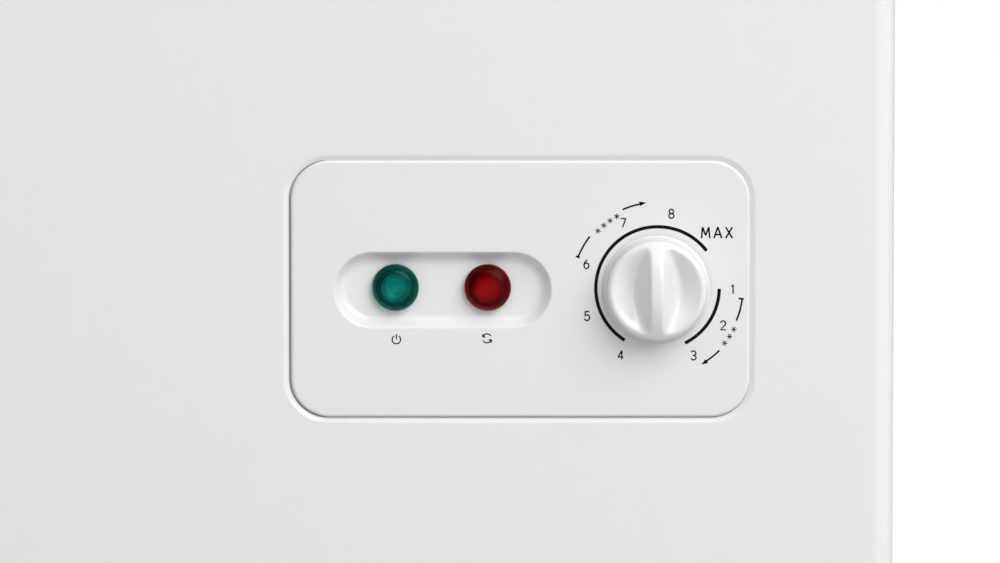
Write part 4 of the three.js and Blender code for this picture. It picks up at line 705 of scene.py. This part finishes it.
# Pale straw foam with a matt, slightly pitted skin.
foam = moulded("Rigid polyurethane foam", "d9c88f", "e9dcae", 0.9, 260.0, 0.0006)
dressed(enamel, 1.2 * mm, "back_panel")
dressed(galvanised, 0.6 * mm, "base_pan", "compressor_base", "bay_bulkhead")
dressed(foam, 0.0, "foam_insulation", "lid_foam")


# --- Liner --------------------------------------------------------------------------------------
# Stucco-embossed aluminium sheet, folded and seamed: a deep bin whose floor steps up over the
# machine bay. Its top edge is turned out over the foam, under the rim trim.

def rings(rows, steps=8):
    """A grid of rounded rectangles in plan, one to each row of x0, x1, y0, y1, corner radius, z."""
    x0, x1, y0, y1, corner, z = np.asarray(rows, float).T[:, :, None]
    quarters = []
    for start, cx, cy in ((0, x1 - corner, y1 - corner), (1, x0 + corner, y1 - corner),
                          (2, x0 + corner, y0 + corner), (3, x1 - corner, y0 + corner)):
        angle = np.linspace(0, np.pi / 2, steps + 1) + start * np.pi / 2
        quarters.append(paired(cx + corner * np.cos(angle), cy + corner * np.sin(angle), z))
    ring = np.concatenate(quarters, axis=1)
    return np.concatenate([ring, ring[:, :1]], axis=1)


def inset(low, high, into, corner, z):
    """One row for rings: the outline of a box in plan, moved into it by so much."""
    return low[0] + into, high[0] - into, low[1] + into, high[1] - into, corner, z


def quarter(radius, steps):
    """A quarter circle between two faces: at each step, how far in from the one and the other."""
    angle = np.linspace(0, np.pi / 2, steps + 1)
    return list(zip(radius * (1 - np.sin(angle)), radius * (1 - np.cos(angle))))


# Rolled pebbles 4 mm across catch the light one by one on a soft, bright, dull-ended metal.
liner_metal, tree = blank("Aluminium sheet, stucco-embossed")
place = add(tree, "TexCoord")
pebble = add(tree, "TexVoronoi", {"Vector": place.outputs["Object"], "Scale": 240.0},
             feature="SMOOTH_F1")
pressed = add(tree, "MapRange", {"Value": pebble.outputs["Distance"], "From Max": 0.6,
                                 "To Min": 1.0, "To Max": 0.0})
liner_metal = coated(liner_metal, {
    "Base Color": tones(tree, noise(tree, 9.0, 3.0), "dadcde", "ebecee"), "Metallic": 1.0,
    "Roughness": 0.36, "Normal": bumped(tree, pressed.outputs["Result"], 0.6, 0.0005)})

liner_low, liner_high = ends("inner_liner")
lip_width, liner_gauge, liner_corner = 14 * mm, 1.2 * mm, 24 * mm
floor_round, lip_round = 12 * mm, 3 * mm
step_x, step_z = 0.1848, 0.3252
low_x, low_y = liner_low[:2] + lip_width + liner_gauge
high_x, high_y = liner_high[:2] - lip_width - liner_gauge
floor_z, lip_z = liner_low[2] + liner_gauge, liner_high[2]
inside_corner = liner_corner - liner_gauge


def bin_row(into, z, right):
    """One outline of the bin: moved into it, at a height, with its right-hand wall at a place."""
    return inset((low_x, low_y), (right, high_y), into, max(inside_corner - into, 0.2 * mm), z)


# From a line along the floor's middle, up the deep bin, over the step, up the walls, in three
# stages, and over the lip.
middle_y, middle_in = (low_y + high_y) / 2, 0.2
cove = quarter(floor_round, 6)
liner_rows = [
    (low_x + middle_in, step_x - middle_in, middle_y, middle_y, 0, floor_z),
    *[bin_row(into, floor_z + up, step_x) for into, up in cove],
    bin_row(0, step_z - 1 * mm, step_x), bin_row(0, step_z, step_x + 1 * mm),
    bin_row(0, step_z, high_x - floor_round),
    *[bin_row(0, step_z + up, high_x - into) for into, up in cove],
    *[bin_row(0, z, high_x) for z in (0.5, 0.65, lip_z - lip_round)],
    *[bin_row(-out, lip_z - down, high_x) for down, out in quarter(lip_round, 6)[1:]],
    bin_row(-lip_width - liner_gauge + 0.2 * mm, lip_z, high_x)]
liner = surface("stepped_liner", [rings(liner_rows, 10)], liner_metal, facing=(0, 0, 1), smooth=40,
                flats=True)
folds = liner.modifiers.new("folds", "BEVEL")
folds.width, folds.segments, folds.angle_limit = 0.8 * mm, 2, np.radians(60)
fasten(liner, "cabinet", "liner_aluminium", "inner_liner")

# Along the front and back walls the step's top runs up in a quarter-round cove, which the deep
# bin's rounded corner cuts off.
corner_x, corner_reach = np.array(quarter(inside_corner, 8)).T
along = np.append(step_x - corner_x, high_x)[:, None]
into, up = np.array(cove).T
away = np.minimum(into, np.append(corner_reach, inside_corner)[:, None])
for name, wall_y, way in (("front", low_y, -1), ("back", high_y, 1)):
    strip = surface("liner_cove_" + name, [paired(along, wall_y - way * away, step_z + up)],
                    liner_metal, facing=(0, -way, 1), smooth=50)
    fasten(strip, "cabinet", "liner_aluminium")


# --- Rim trim -----------------------------------------------------------------------------------
# Extruded and mitred white ABS frame that caps the sheet and the liner. Its skirt hides the sheet's
# cut edge, and its inner leg carries the basket's rail.

# A fine spark-eroded texture makes the white soft and even, with a broad dull highlight.
abs_satin = moulded("White ABS, spark-eroded texture", "e1e2e2", "e8e8e8", 0.42, 1400.0, 0.00006)

trim_low, trim_high = ends("rim_trim")
trim_wall, outer_round, leg_in = 2 * mm, 8.8 * mm, 64.3 * mm
trim_foot, top_z = trim_low[2], trim_high[2]
rail_z, skirt_z, under_z = trim_foot + trim_wall, top_z - 17 * mm, top_z - 4.6 * mm


def trim_row(into, z):
    """One outline of the trim: this far in from its outer face, at a height."""
    far = max(inside_corner - (into - leg_in), 4 * mm)
    return inset(trim_low, trim_high, into, outer_round - into if into < 8 * mm else far, z)


# Up the skirt, over the top with its shallow channel, down the inner leg, out along the rail, and
# back underneath.
trim_line = [
    (1.5 * mm, skirt_z), (0.5 * mm, skirt_z), (0, skirt_z + 0.5 * mm),
    *[(into, top_z - down) for down, into in quarter(2.4 * mm, 4)],
    (20 * mm, top_z), (21 * mm, top_z - 0.6 * mm), (44 * mm, top_z - 0.6 * mm), (45 * mm, top_z),
    *[(leg_in + 2 * mm - back, top_z - down) for back, down in quarter(3.5 * mm, 4)],
    (66.3 * mm, rail_z + 1.5 * mm), (67.3 * mm, rail_z), (75.3 * mm, rail_z),
    (76.3 * mm, rail_z - 0.6 * mm), (76.3 * mm, trim_foot + 0.4 * mm), (75.9 * mm, trim_foot),
    (64.6 * mm, trim_foot), (64.6 * mm, under_z), (1.5 * mm, under_z), (1.5 * mm, skirt_z)]
trim = surface("rim_frame", [rings([trim_row(into, z) for into, z in trim_line], 10)], abs_satin,
               smooth=40, flats=True)
fasten(trim, "cabinet", "white_abs", "rim_trim")


# --- Feet ---------------------------------------------------------------------------------------
# Injection-moulded black polypropylene feet, screwed up into the base: a flared pad, a waist and
# a ribbed collar.

# Near-black with a fine even grain and a dull sheen.
black_pp = moulded("Black polypropylene, fine grain", "111212", "1b1c1c", 0.5, 1100.0, 0.00008)


def turned(name, profile, centre, material, **more):
    """A profile of radius and height turned round an upright axis."""
    grid = lathe(profile[:, 0], profile[:, 1], centre, 0, 72)
    return surface(name, [grid[..., [0, 2, 1]]], material, **more)


for side in ("front_left", "front_right", "rear_left", "rear_right"):
    low, high = ends("foot_" + side)
    tall = high[2] / mm
    foot = np.array([[0, 0.3], [13, 0.3], [14, 0], [19.4, 0], [20.6, 0.5], [21, 1.6], [20.7, 2.6],
                     [18.6, 4], [17.6, 5.5], [17.2, 9], [17.2, 13.6], [18, 14.2], [18, 16.4],
                     [17.2, 17], [16.6, tall - 0.4], [16, tall], [0, tall]]) * mm
    pad = turned("foot_pad_" + side, foot, (low + high) / 2, black_pp, smooth=30)
    fasten(pad, "cabinet", "black_plastic", "foot_" + side)


# --- Refrigerant circuit ------------------------------------------------------------------------
# A hermetic compressor in a welded can on rubber grommets, drawn copper tube brazed between it, the
# drier and the two coils, and the starter under a clipped cover.

def metal(name, dark, light, rough, scale):
    """A bare metal whose tone and roughness follow one noise."""
    made, tree = blank(name)
    stain = noise(tree, scale)
    return coated(made, {
        "Base Color": tones(tree, stain, dark, light, 0.25, 0.75), "Metallic": 1.0,
        "Roughness": spread(tree, stain, rough + 0.08, rough - 0.05)})


# Satin stove enamel, thin over the can's drawn skin.
can_paint = moulded("Black stove enamel on drawn steel", "0c0d0e", "161718", 0.33, 160.0, 0.0001)
# Bright pink copper, browned in patches by handling and brazing.
copper = metal("Drawn copper tube, slightly tarnished", "8a5136", "c08060", 0.3, 60.0)
# Dense black rubber with a dusty bloom.
rubber = moulded("Black rubber, moulded", "151515", "232323", 0.75, 500.0, 0.0001)
# Bare aluminium tube, dull from drawing.
tube_metal = metal("Drawn aluminium tube", "b0b2b4", "c8cacb", 0.38, 80.0)
# Bright nickel flash on turned and pressed steel.
plated = metal("Nickel-plated steel", "b9b6ae", "d0cdc6", 0.22, 120.0)
dressed(can_paint, 0.0, "compressor")
dressed(copper, 0.0, "discharge_pipe", "suction_pipe", "filter_drier", "condenser_coil",
        "thermostat_capillary")
dressed(tube_metal, 0.0, "evaporator_coil")
dressed(rubber, 0.5 * mm, *["compressor_grommet_%d" % count for count in (1, 2, 3, 4)])
dressed(black_pp, 1.0 * mm, "relay_cover", "control_box")
dressed(black_pp, 0.3 * mm, "power_lamp_body", "run_lamp_body")
dressed(galvanised, 0.4 * mm, "thermostat_body")
dressed(plated, 0.2 * mm, "thermostat_shaft", "hinge_left_pin", "hinge_right_pin")


# --- Vents and gland ----------------------------------------------------------------------------
# A clipped white ABS grille with raked blades on the right-hand end, a folded galvanised cover with
# pressed hoods at the back, held by four screws, and the bush that the supply lead comes through.

dressed(abs_satin, 0.4 * mm, "side_vent_grille")
dressed(galvanised, 0.3 * mm, "rear_bay_cover")
gland_low, gland_high = ends("cord_gland")
bush = np.array([[4, 0.6], [4.6, 0], [9.6, 0], [10.4, 0.3], [10.9, 1.2], [11, 3.4], [10.6, 3.7],
                 [8, 3.7], [8, 9], [8.4, 9.6], [8, 13], [4, 13], [4, 0.6]]) * mm
gland = surface("gland_bush", [lathe(bush[:, 0], -bush[:, 1], centre_of(gland_low, gland_high),
                                     gland_high[1], 72)], black_pp, smooth=30)
fasten(gland, "cabinet", "black_plastic", "cord_gland")

screw_radius, recess_half, recess_reach = 3.6 * mm, 0.15, 0.62


def screws(name, spots, body):
    """Pan-head screws that face the back, centred on spots. Each head is a low dome over a polar
    grid, in shares of its radius, sunk near either of two crossed lines."""
    angle = np.linspace(0, 2 * np.pi, 49)
    share = np.concatenate([np.linspace(0, 0.96, 13), [1.0, 1.0]])[:, None]
    u, v = share * np.cos(angle), share * np.sin(angle)
    recess = (np.clip((recess_half - np.minimum(np.abs(u), np.abs(v))) / 0.05, 0, 1)
              * np.clip((recess_reach - share) / 0.1, 0, 1))
    rise = 0.62 * np.sqrt(np.maximum(1.06 - share ** 2, 0)) - 0.4 * recess
    rise[-1] = 0
    head = screw_radius * paired(u, rise, -v)
    made = surface(name, [head + np.asarray(spot) for spot in spots], plated, facing=(0, 1, 0),
                   smooth=50)
    fasten(made, body, "galvanised_steel")


cover_low, cover_high = ends("rear_bay_cover")
hood_rise = 4 * mm
screws("cover_screws", [(x, cover_high[1] - hood_rise, z)
                        for x in (cover_low[0] + 8 * mm, cover_high[0] - 8 * mm)
                        for z in (cover_low[2] + 10 * mm, cover_high[2] - 10 * mm)], "cabinet")


# --- Drain --------------------------------------------------------------------------------------
# A moulded tube from the liner's floor to the front. A rubber plug with a pull tab closes it
# inside, and an ABS cap with a grip bar is pushed over its outlet.

def lozenge(centre, half, start, stop, corner):
    """A bar on a centre, with half sizes, that stands from one height to another; its upright
    edges are round and its far end is rolled over to a line."""
    low, high = np.array(centre) - half, np.array(centre) + half
    way = np.sign(stop - start)
    return rings([
        inset(low, high, 0, corner, start),
        *[inset(low, high, 0.8 * into, max(corner - 0.8 * into, 0.05 * mm), stop - way * down)
          for down, into in quarter(corner, 5)],
        (low[0] + corner, high[0] - corner, centre[1], centre[1], 0, stop)])


drain_low, drain_high = ends("drain_plug_inner")
well = (drain_low[:2] + drain_high[:2]) / 2
seal_z = drain_high[2] - 9 * mm
seal = np.array([[0, -8], [5.4, -8], [6.1, -7.4], [6.9, -1], [7, 0.3], [14.4, 0.3], [15, 0.8],
                 [14.6, 2.2], [13.6, 3], [9, 3.3], [0, 3.3]]) * mm
plug = turned("drain_seal", seal + (0, seal_z), well, rubber, smooth=40)
tab = lozenge(well, np.array([7, 1.7]) * mm, seal_z + 3 * mm, drain_high[2], 1.6 * mm)
tab = surface("drain_seal_tab", [tab], rubber, smooth=50)
fasten(plug, "drain_plug", "black_rubber", "drain_plug_inner")
fasten(tab, "drain_plug", "black_rubber")

# A dished disc with a rounded rim, and a hollow spigot behind it.
cap_face = cap_low[1] + 3 * mm
disc = np.array([[0, 0.4], [9.6, 0.4], [10.4, 0], [11.4, 0], [12.6, 0.4], [13.6, 1.5], [14, 3],
                 [14, 6.3], [13.7, 6.6], [7, 6.6], [7, 20.4], [6.6, 21], [4.5, 21], [4.5, 6.7],
                 [0, 6.7]]) * mm
cap = surface("drain_cap_disc", [lathe(disc[:, 0], disc[:, 1], drain_origin, cap_face)],
              abs_satin, smooth=32)
bar = lozenge(drain_origin, np.array([1.5, 9]) * mm, cap_face + 1 * mm, cap_low[1], 1.4 * mm)
bar = surface("drain_cap_grip", [bar[:, :, [0, 2, 1]]], abs_satin, smooth=50)
fasten(cap, "drain_cap", "white_abs", "drain_cap_outer")
fasten(bar, "drain_cap", "white_abs")
dressed(abs_satin, 0.3 * mm, "drain_tube")


# --- Lid ----------------------------------------------------------------------------------------
# A drawn and painted steel skin with rounded shoulders over foam, closed below by a vacuum-formed
# panel. A PVC gasket is pressed into its edge and a hollow ABS pull is screwed to its front.

def softened(points):
    """A line of points with its corners cut twice over: each pass keeps the places a quarter and
    three quarters of the way along every segment, and both ends."""
    points = np.asarray(points, float)
    for _ in range(2):
        start, stop = points[:-1], points[1:]
        cut = np.stack([0.75 * start + 0.25 * stop, 0.25 * start + 0.75 * stop], 1)
        points = np.concatenate([points[:1], cut.reshape(-1, 2), points[-1:]])
    return points


lid_low, lid_high = ends("lid_outer")
lid_round, lid_corner, top_corner, crown = 14 * mm, 10 * mm, 16 * mm, 1.4 * mm
half = (lid_high[1] - lid_low[1]) / 2
ridge = (lid_low[0] + half, lid_high[0] - half, lid_low[1] + half, lid_low[1] + half, 0)

# From the turned-in lower edge, over the rounded shoulder, to a slightly crowned top: how far in
# from the lid's edge, the corner's radius and the height.
edge = np.array([[7, 5, 0.3], [1.6, 9, 0.3], [0.5, 9.6, 0.8], [0, 10, 1.9]]) * mm
lid_line = [
    *[(into, corner, lid_low[2] + up) for into, corner, up in edge],
    *[(into, lid_corner + (top_corner - lid_corner) * into / lid_round, lid_high[2] - crown - down)
      for down, into in quarter(lid_round, 12)],
    *[(into, top_corner, lid_high[2] - crown * (1 - (into - lid_round) / (half - lid_round)) ** 2)
      for into in np.array([30, 60, 100, 150, 200, 240]) * mm]]
skin = surface("lid_skin", [rings([*[inset(lid_low, lid_high, *row) for row in lid_line],
                                   (*ridge, lid_high[2])])],
               enamel, sheet=0.8 * mm, smooth=40, flats=True)
fasten(skin, "lid", "white_enamel", "lid_outer")

# The lining is flat at its edge and steps down to a field, while its corner's radius grows.
lining_line = softened([(1.8, 0), (40, 0), (78, 0), (81, -0.2), (88, -11.5), (92, -13), (98, -13),
                        (120, -13)])
lining_rows = [inset(lid_low, lid_high, into * mm, (9 + 25 * np.clip((into - 40) / 40, 0, 1)) * mm,
                     lid_low[2] + up * mm) for into, up in lining_line]
lining = surface("lid_lining", [rings([*lining_rows, (*ridge, lining_rows[-1][5])])], abs_satin,
                 facing=(0, 0, -1), sheet=1.4 * mm, smooth=50, flats=True)
fasten(lining, "lid", "white_abs", "lid_inner_panel")

# Pale grey and dull, with the soft sheen of plasticised PVC.
pvc = moulded("Grey-white PVC, extruded", "cfcfcc", "dadad7", 0.5, 400.0, 0.00005)
seal_low, seal_high = ends("lid_gasket")
lobe = softened([(0, 7.4), (0, 5.8), (2.4, 4.8), (1.4, 2.4), (3, 0), (11, 0), (13, 2.2),
                 (11.4, 5), (13, 6.2), (13, 7.4)])
lobe = np.concatenate([lobe, lobe[:1]]) * mm
seal_corner = 18 * mm
seal_rows = [inset(seal_low, seal_high, into, seal_corner - into, seal_low[2] + up)
             for into, up in lobe]
fasten(surface("lid_seal", [rings(seal_rows)], pvc, smooth=50), "lid", "gasket_vinyl", "lid_gasket")
dressed(abs_satin, 0.8 * mm, "lid_handle")


# --- Hinges -------------------------------------------------------------------------------------
# Sprung hinges of pressed and plated steel. A cam on each leaf bears on a sliding plunger that a
# coil spring pushes up, so the spring carries the lid's weight.

def tube(path, radius, ref, sides=12, loop=False):
    """A round bar on a path: at each point a circle square to the run, on the two directions that
    the run and a fixed reference give. Open ends close on their centres."""
    path = np.asarray(path, float)
    ahead = (np.roll(path, -1, axis=0) - np.roll(path, 1, axis=0) if loop
             else np.gradient(path, axis=0))
    ahead /= np.linalg.norm(ahead, axis=-1)[:, None]
    side = np.cross(ahead, ref)
    side /= np.linalg.norm(side, axis=-1)[:, None]
    above = np.cross(side, ahead)
    angle = np.linspace(0, 2 * np.pi, sides + 1)[None, :, None]
    skin = path[:, None] + radius * (np.cos(angle) * side[:, None] + np.sin(angle) * above[:, None])
    if loop:
        return np.concatenate([skin, skin[:1]])
    flat = np.zeros_like(skin[:1])
    return np.concatenate([path[:1, None] + flat, skin, path[-1:, None] + flat])


# Oiled spring wire: dark, straight-drawn and bright on its crowns.
spring_wire = metal("Oil-tempered spring steel wire", "5c5e60", "84868a", 0.28, 300.0)
wire, coil_turns, hinge_gauge = 1.4 * mm, 9, 2.5 * mm
turned_by = np.linspace(0, coil_turns, coil_turns * 30 + 1)
# The first and the last turn lie flat and close against the next.
dead = np.clip(turned_by, 0, 1) + np.clip(turned_by - coil_turns + 1, 0, 1)
rise = np.clip((turned_by - 1) / (coil_turns - 2), 0, 1)
for side in ("left", "right"):
    hinge = "hinge_%s_" % side
    low, high = ends(hinge + "spring")
    centre = (low + high) / 2
    radius = (high[0] - low[0]) / 2 - wire
    coil = paired(centre[0] + radius * np.cos(2 * np.pi * turned_by),
                  centre[1] + radius * np.sin(2 * np.pi * turned_by),
                  low[2] + wire + dead * 2.1 * wire + rise * (high[2] - low[2] - 6.2 * wire))
    spring = surface(hinge + "coil", [tube(coil, wire, (0, 0, 1.0), 10)], spring_wire, smooth=60)
    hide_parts(hinge + "spring")
    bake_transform(spring)
    dressed(galvanised, 0.4 * mm, hinge + "base", hinge + "leaf")
    dressed(black_pp, 0.4 * mm, hinge + "plunger")
    for leaf, body in (("base", "cabinet"), ("leaf", "lid")):
        low, high = ends(hinge + leaf)
        levels = ((low[2] + 8 * mm, trim_foot - 9 * mm) if leaf == "base"
                  else (high[2] - 11 * mm,))
        screws(hinge + leaf + "_screws", [(x, low[1] + hinge_gauge, z)
                                          for x in (low[0] + 6 * mm, high[0] - 6 * mm)
                                          for z in levels], body)


# --- Basket -------------------------------------------------------------------------------------
# Welded steel wire dipped in white polyethylene: a rim hoop with two hooks a side that ride on the
# rim's rails, lengthwise wires, cross wires laid over them, and two waist hoops.

def eased(corners_, radius):
    """A line through corners, each rounded by a curve that starts and ends a radius away."""
    corners_ = np.asarray(corners_, float)
    toward = np.diff(corners_, axis=0)
    toward /= np.linalg.norm(toward, axis=-1)[:, None]
    here = corners_[1:-1]
    before, after = here - radius * toward[:-1], here + radius * toward[1:]
    t = np.linspace(0, 1, 7)[:, None, None]
    curve = (1 - t) ** 2 * before + 2 * t * (1 - t) * here + t ** 2 * after
    curve = curve.transpose(1, 0, 2).reshape(-1, 3)
    return np.concatenate([corners_[:1], curve, corners_[-1:]])


# Thick dipped plastic: bright white, rounded and evenly glossy.
dipped = moulded("White polyethylene, dip-coated on wire", "e4e5e5", "ececec", 0.32, 200.0, 0.0001)
basket_low, basket_high = ends("basket")
bx, by = (basket_low[:2] + basket_high[:2]) / 2
bar_radius, wire_radius, waist_radius, taper = 2 * mm, 1.6 * mm, 1.4 * mm, 6 * mm
bar_inset, hoop_corner, wire_bend = 1.41 * mm, 16 * mm, 10 * mm
hook_bend, hook_long = 8 * mm, 46 * mm
rail_y = (basket_high[1] - basket_low[1]) / 2 - bar_inset
hoop_x, hoop_y = 150 * mm, rail_y - 15.2 * mm
hoop_z = basket_high[2] - bar_inset
basket_floor = hoop_z - 252 * mm
cross_floor = basket_floor + 2.8 * mm


def hoop(into, z, radius):
    """A closed hoop of bar at a height, drawn in from the rim by so much."""
    ring = rings([inset((bx - hoop_x, by - hoop_y), (bx + hoop_x, by + hoop_y), into, hoop_corner,
                        z)])[0][:-1]
    return tube(ring, radius, (0, 0, 1.0), loop=True)


wires = [hoop(0, hoop_z, bar_radius)]
for share in (0.34, 0.67):
    wires.append(hoop(taper * share + 1.6 * mm, hoop_z + (basket_floor - hoop_z) * share,
                      waist_radius))
for x in bx + hoop_x * np.linspace(-0.96, 0.96, 9) * 0.9:
    run = [(x, by - hoop_y, hoop_z), (x, by - hoop_y + taper, basket_floor),
           (x, by + hoop_y - taper, basket_floor), (x, by + hoop_y, hoop_z)]
    wires.append(tube(eased(run, wire_bend), wire_radius, (1.0, 0, 0), 10))
for y in by + hoop_y * np.linspace(-0.88, 0.88, 13):
    run = [(bx - hoop_x, y, hoop_z), (bx - hoop_x + taper, y, cross_floor),
           (bx + hoop_x - taper, y, cross_floor), (bx + hoop_x, y, hoop_z)]
    wires.append(tube(eased(run, wire_bend), wire_radius, (0, 1.0, 0), 10))
for share in (-0.5, 0.5):
    for way in (-1, 1):
        x, near, far = bx + share * hoop_x, by + way * hoop_y, by + way * rail_y
        run = [(x, near, hoop_z), (x, far, hoop_z), (x + hook_long, far, hoop_z),
               (x + hook_long, near, hoop_z)]
        wires.append(tube(eased(run, hook_bend), bar_radius, (0, 0, 1.0)))
basket = surface("basket_wires", wires, dipped, smooth=60, weld=1e-7)
fasten(basket, "basket", "coated_wire", "basket")


# --- Studio -------------------------------------------------------------------------------------
# A plain pale floor, a large soft box above to the right, one behind, a narrow one that draws the
# right-hand edge, and a surround whose light is even except in reflections.

def ramped(tree, share, start, stop, low=0.0):
    """A number that rises to one while its share goes from start to stop."""
    return add(tree, "MapRange", {"Value": share, "From Min": start, "From Max": stop,
                                  "To Min": low}).outputs["Result"]


def bearing_of(tree, way):
    """A direction's three parts and its bearing round the vertical, in radians."""
    way = add(tree, "SeparateXYZ", {"Vector": way})
    return way, joined(tree, way.outputs["Y"], way.outputs["X"], "ARCTAN2")


def dim_band(tree, bearing):
    """One all round, and low in a band behind the object to the right, which darkens what the
    sheet's bend mirrors at its edge."""
    beside = ramped(tree, bearing, np.radians(32), np.radians(8), 0.1)
    behind = ramped(tree, bearing, np.radians(92), np.radians(102))
    return joined(tree, beside, behind, "MAXIMUM")


def seen_plainly(tree, path):
    """One for rays from the camera, straight or through a clear lens."""
    return joined(tree, path.outputs["Is Camera Ray"], path.outputs["Is Transmission Ray"],
                  "MAXIMUM")


# To the camera, and in metal and glass, it glows to the white of the surround, so that no horizon
# shows, and keeps the object's soft shadow.
floor_paint, tree = blank("Matt white studio floor")
path = add(tree, "LightPath")
paint = add(tree, "BsdfDiffuse", {"Color": linear("b0b0b0")})
glow = add(tree, "Emission", {"Color": linear("ffffff"), "Strength": 0.7})
lit = add(tree, "AddShader", {0: paint.outputs[0], 1: glow.outputs[0]})
spot = add(tree, "VectorMath", {0: add(tree, "TexCoord").outputs["Object"],
                                1: (shell_high[0], face, 0)}, operation="SUBTRACT")
mirror = joined(tree, path.outputs["Is Glossy Ray"],
                dim_band(tree, bearing_of(tree, spot.outputs[0])[1]), "MINIMUM")
sight = joined(tree, seen_plainly(tree, path), mirror, "MAXIMUM")
floor_paint = finished(floor_paint, add(tree, "MixShader", {
    "Fac": sight, 1: paint.outputs[0], 2: lit.outputs[0]}))
ground = paired([[-30.0, -30.0], [30.0, 30.0]], [-30.0, 30.0], 0.0)
surface("studio_floor", [ground], floor_paint, facing=(0, 0, 1))

# In reflections the surround is dark behind the camera, up to 11 degrees to its right and to 65
# degrees to its left, and dim in the same band as the floor. High up it is bright all round.
world = bpy.data.worlds.new("Studio surround")
world.use_nodes = True
bpy.context.scene.world = world
tree = world.node_tree
tree.nodes.clear()
path = add(tree, "LightPath")
way, bearing = bearing_of(tree, add(tree, "TexCoord").outputs[0])
rightward = ramped(tree, bearing, np.radians(-83), np.radians(-76))
leftward = ramped(tree, bearing, np.radians(-150), np.radians(-160))
high = ramped(tree, way.outputs["Z"], 0.5, 0.75)
bright = joined(tree, rightward, dim_band(tree, bearing), "MINIMUM")
bright = joined(tree, joined(tree, bright, leftward, "MAXIMUM"), high, "MAXIMUM")
mirrored = spread(tree, bright, 0.12, 1.0)
even = spread(tree, path.outputs["Is Glossy Ray"], 0.57, mirrored)
level = spread(tree, seen_plainly(tree, path), even, 1.0)
sky = add(tree, "Background", {"Color": linear("ffffff"), "Strength": level})
add(tree, "OutputWorld", {"Surface": sky.outputs[0]})

target = Vector((panel_origin[0], face, panel_origin[1]))


def softbox(name, direction, distance, width, height, watts):
    """A rectangular lamp that faces the panel from a direction."""
    lamp = bpy.data.lights.new(name, "AREA")
    lamp.shape = "RECTANGLE"
    lamp.size, lamp.size_y, lamp.energy = width, height, watts
    made = bpy.data.objects.new(name, lamp)
    bpy.context.scene.collection.objects.link(made)
    toward = Vector(direction).normalized()
    made.location = target + toward * distance
    made.rotation_euler = toward.to_track_quat("Z", "Y").to_euler()


softbox("key_softbox", (0.43, -0.653, 0.623), 3.0, 2.2, 2.2, 68.0)
softbox("rear_softbox", (-0.55, 0.62, 0.56), 3.4, 2.0, 2.0, 16.0)
softbox("edge_strip", (0.7, -0.35, 0.62), 2.6, 0.1, 1.5, 7.0)

# The picture is 319 mm wide at the panel's face. The camera stands far off and a little raised, and
# looks down at a point beside the panel's centre.
camera = bpy.data.cameras.new("camera")
distance, raised, picture_width = 3.0, 320 * mm, 0.319
camera.sensor_width = 36
camera.lens = camera.sensor_width * distance / picture_width
camera.clip_start = 0.02
view = bpy.data.objects.new("camera", camera)
bpy.context.scene.collection.objects.link(view)
view.location = (panel_origin[0] - 6.24 * mm, face - distance,
                 panel_origin[1] + 2.55 * mm + raised)
view.rotation_euler = (np.pi / 2 - np.arctan(raised / distance), 0, 0)
bpy.context.scene.camera = view
bpy.context.scene.view_settings.view_transform = "Standard"
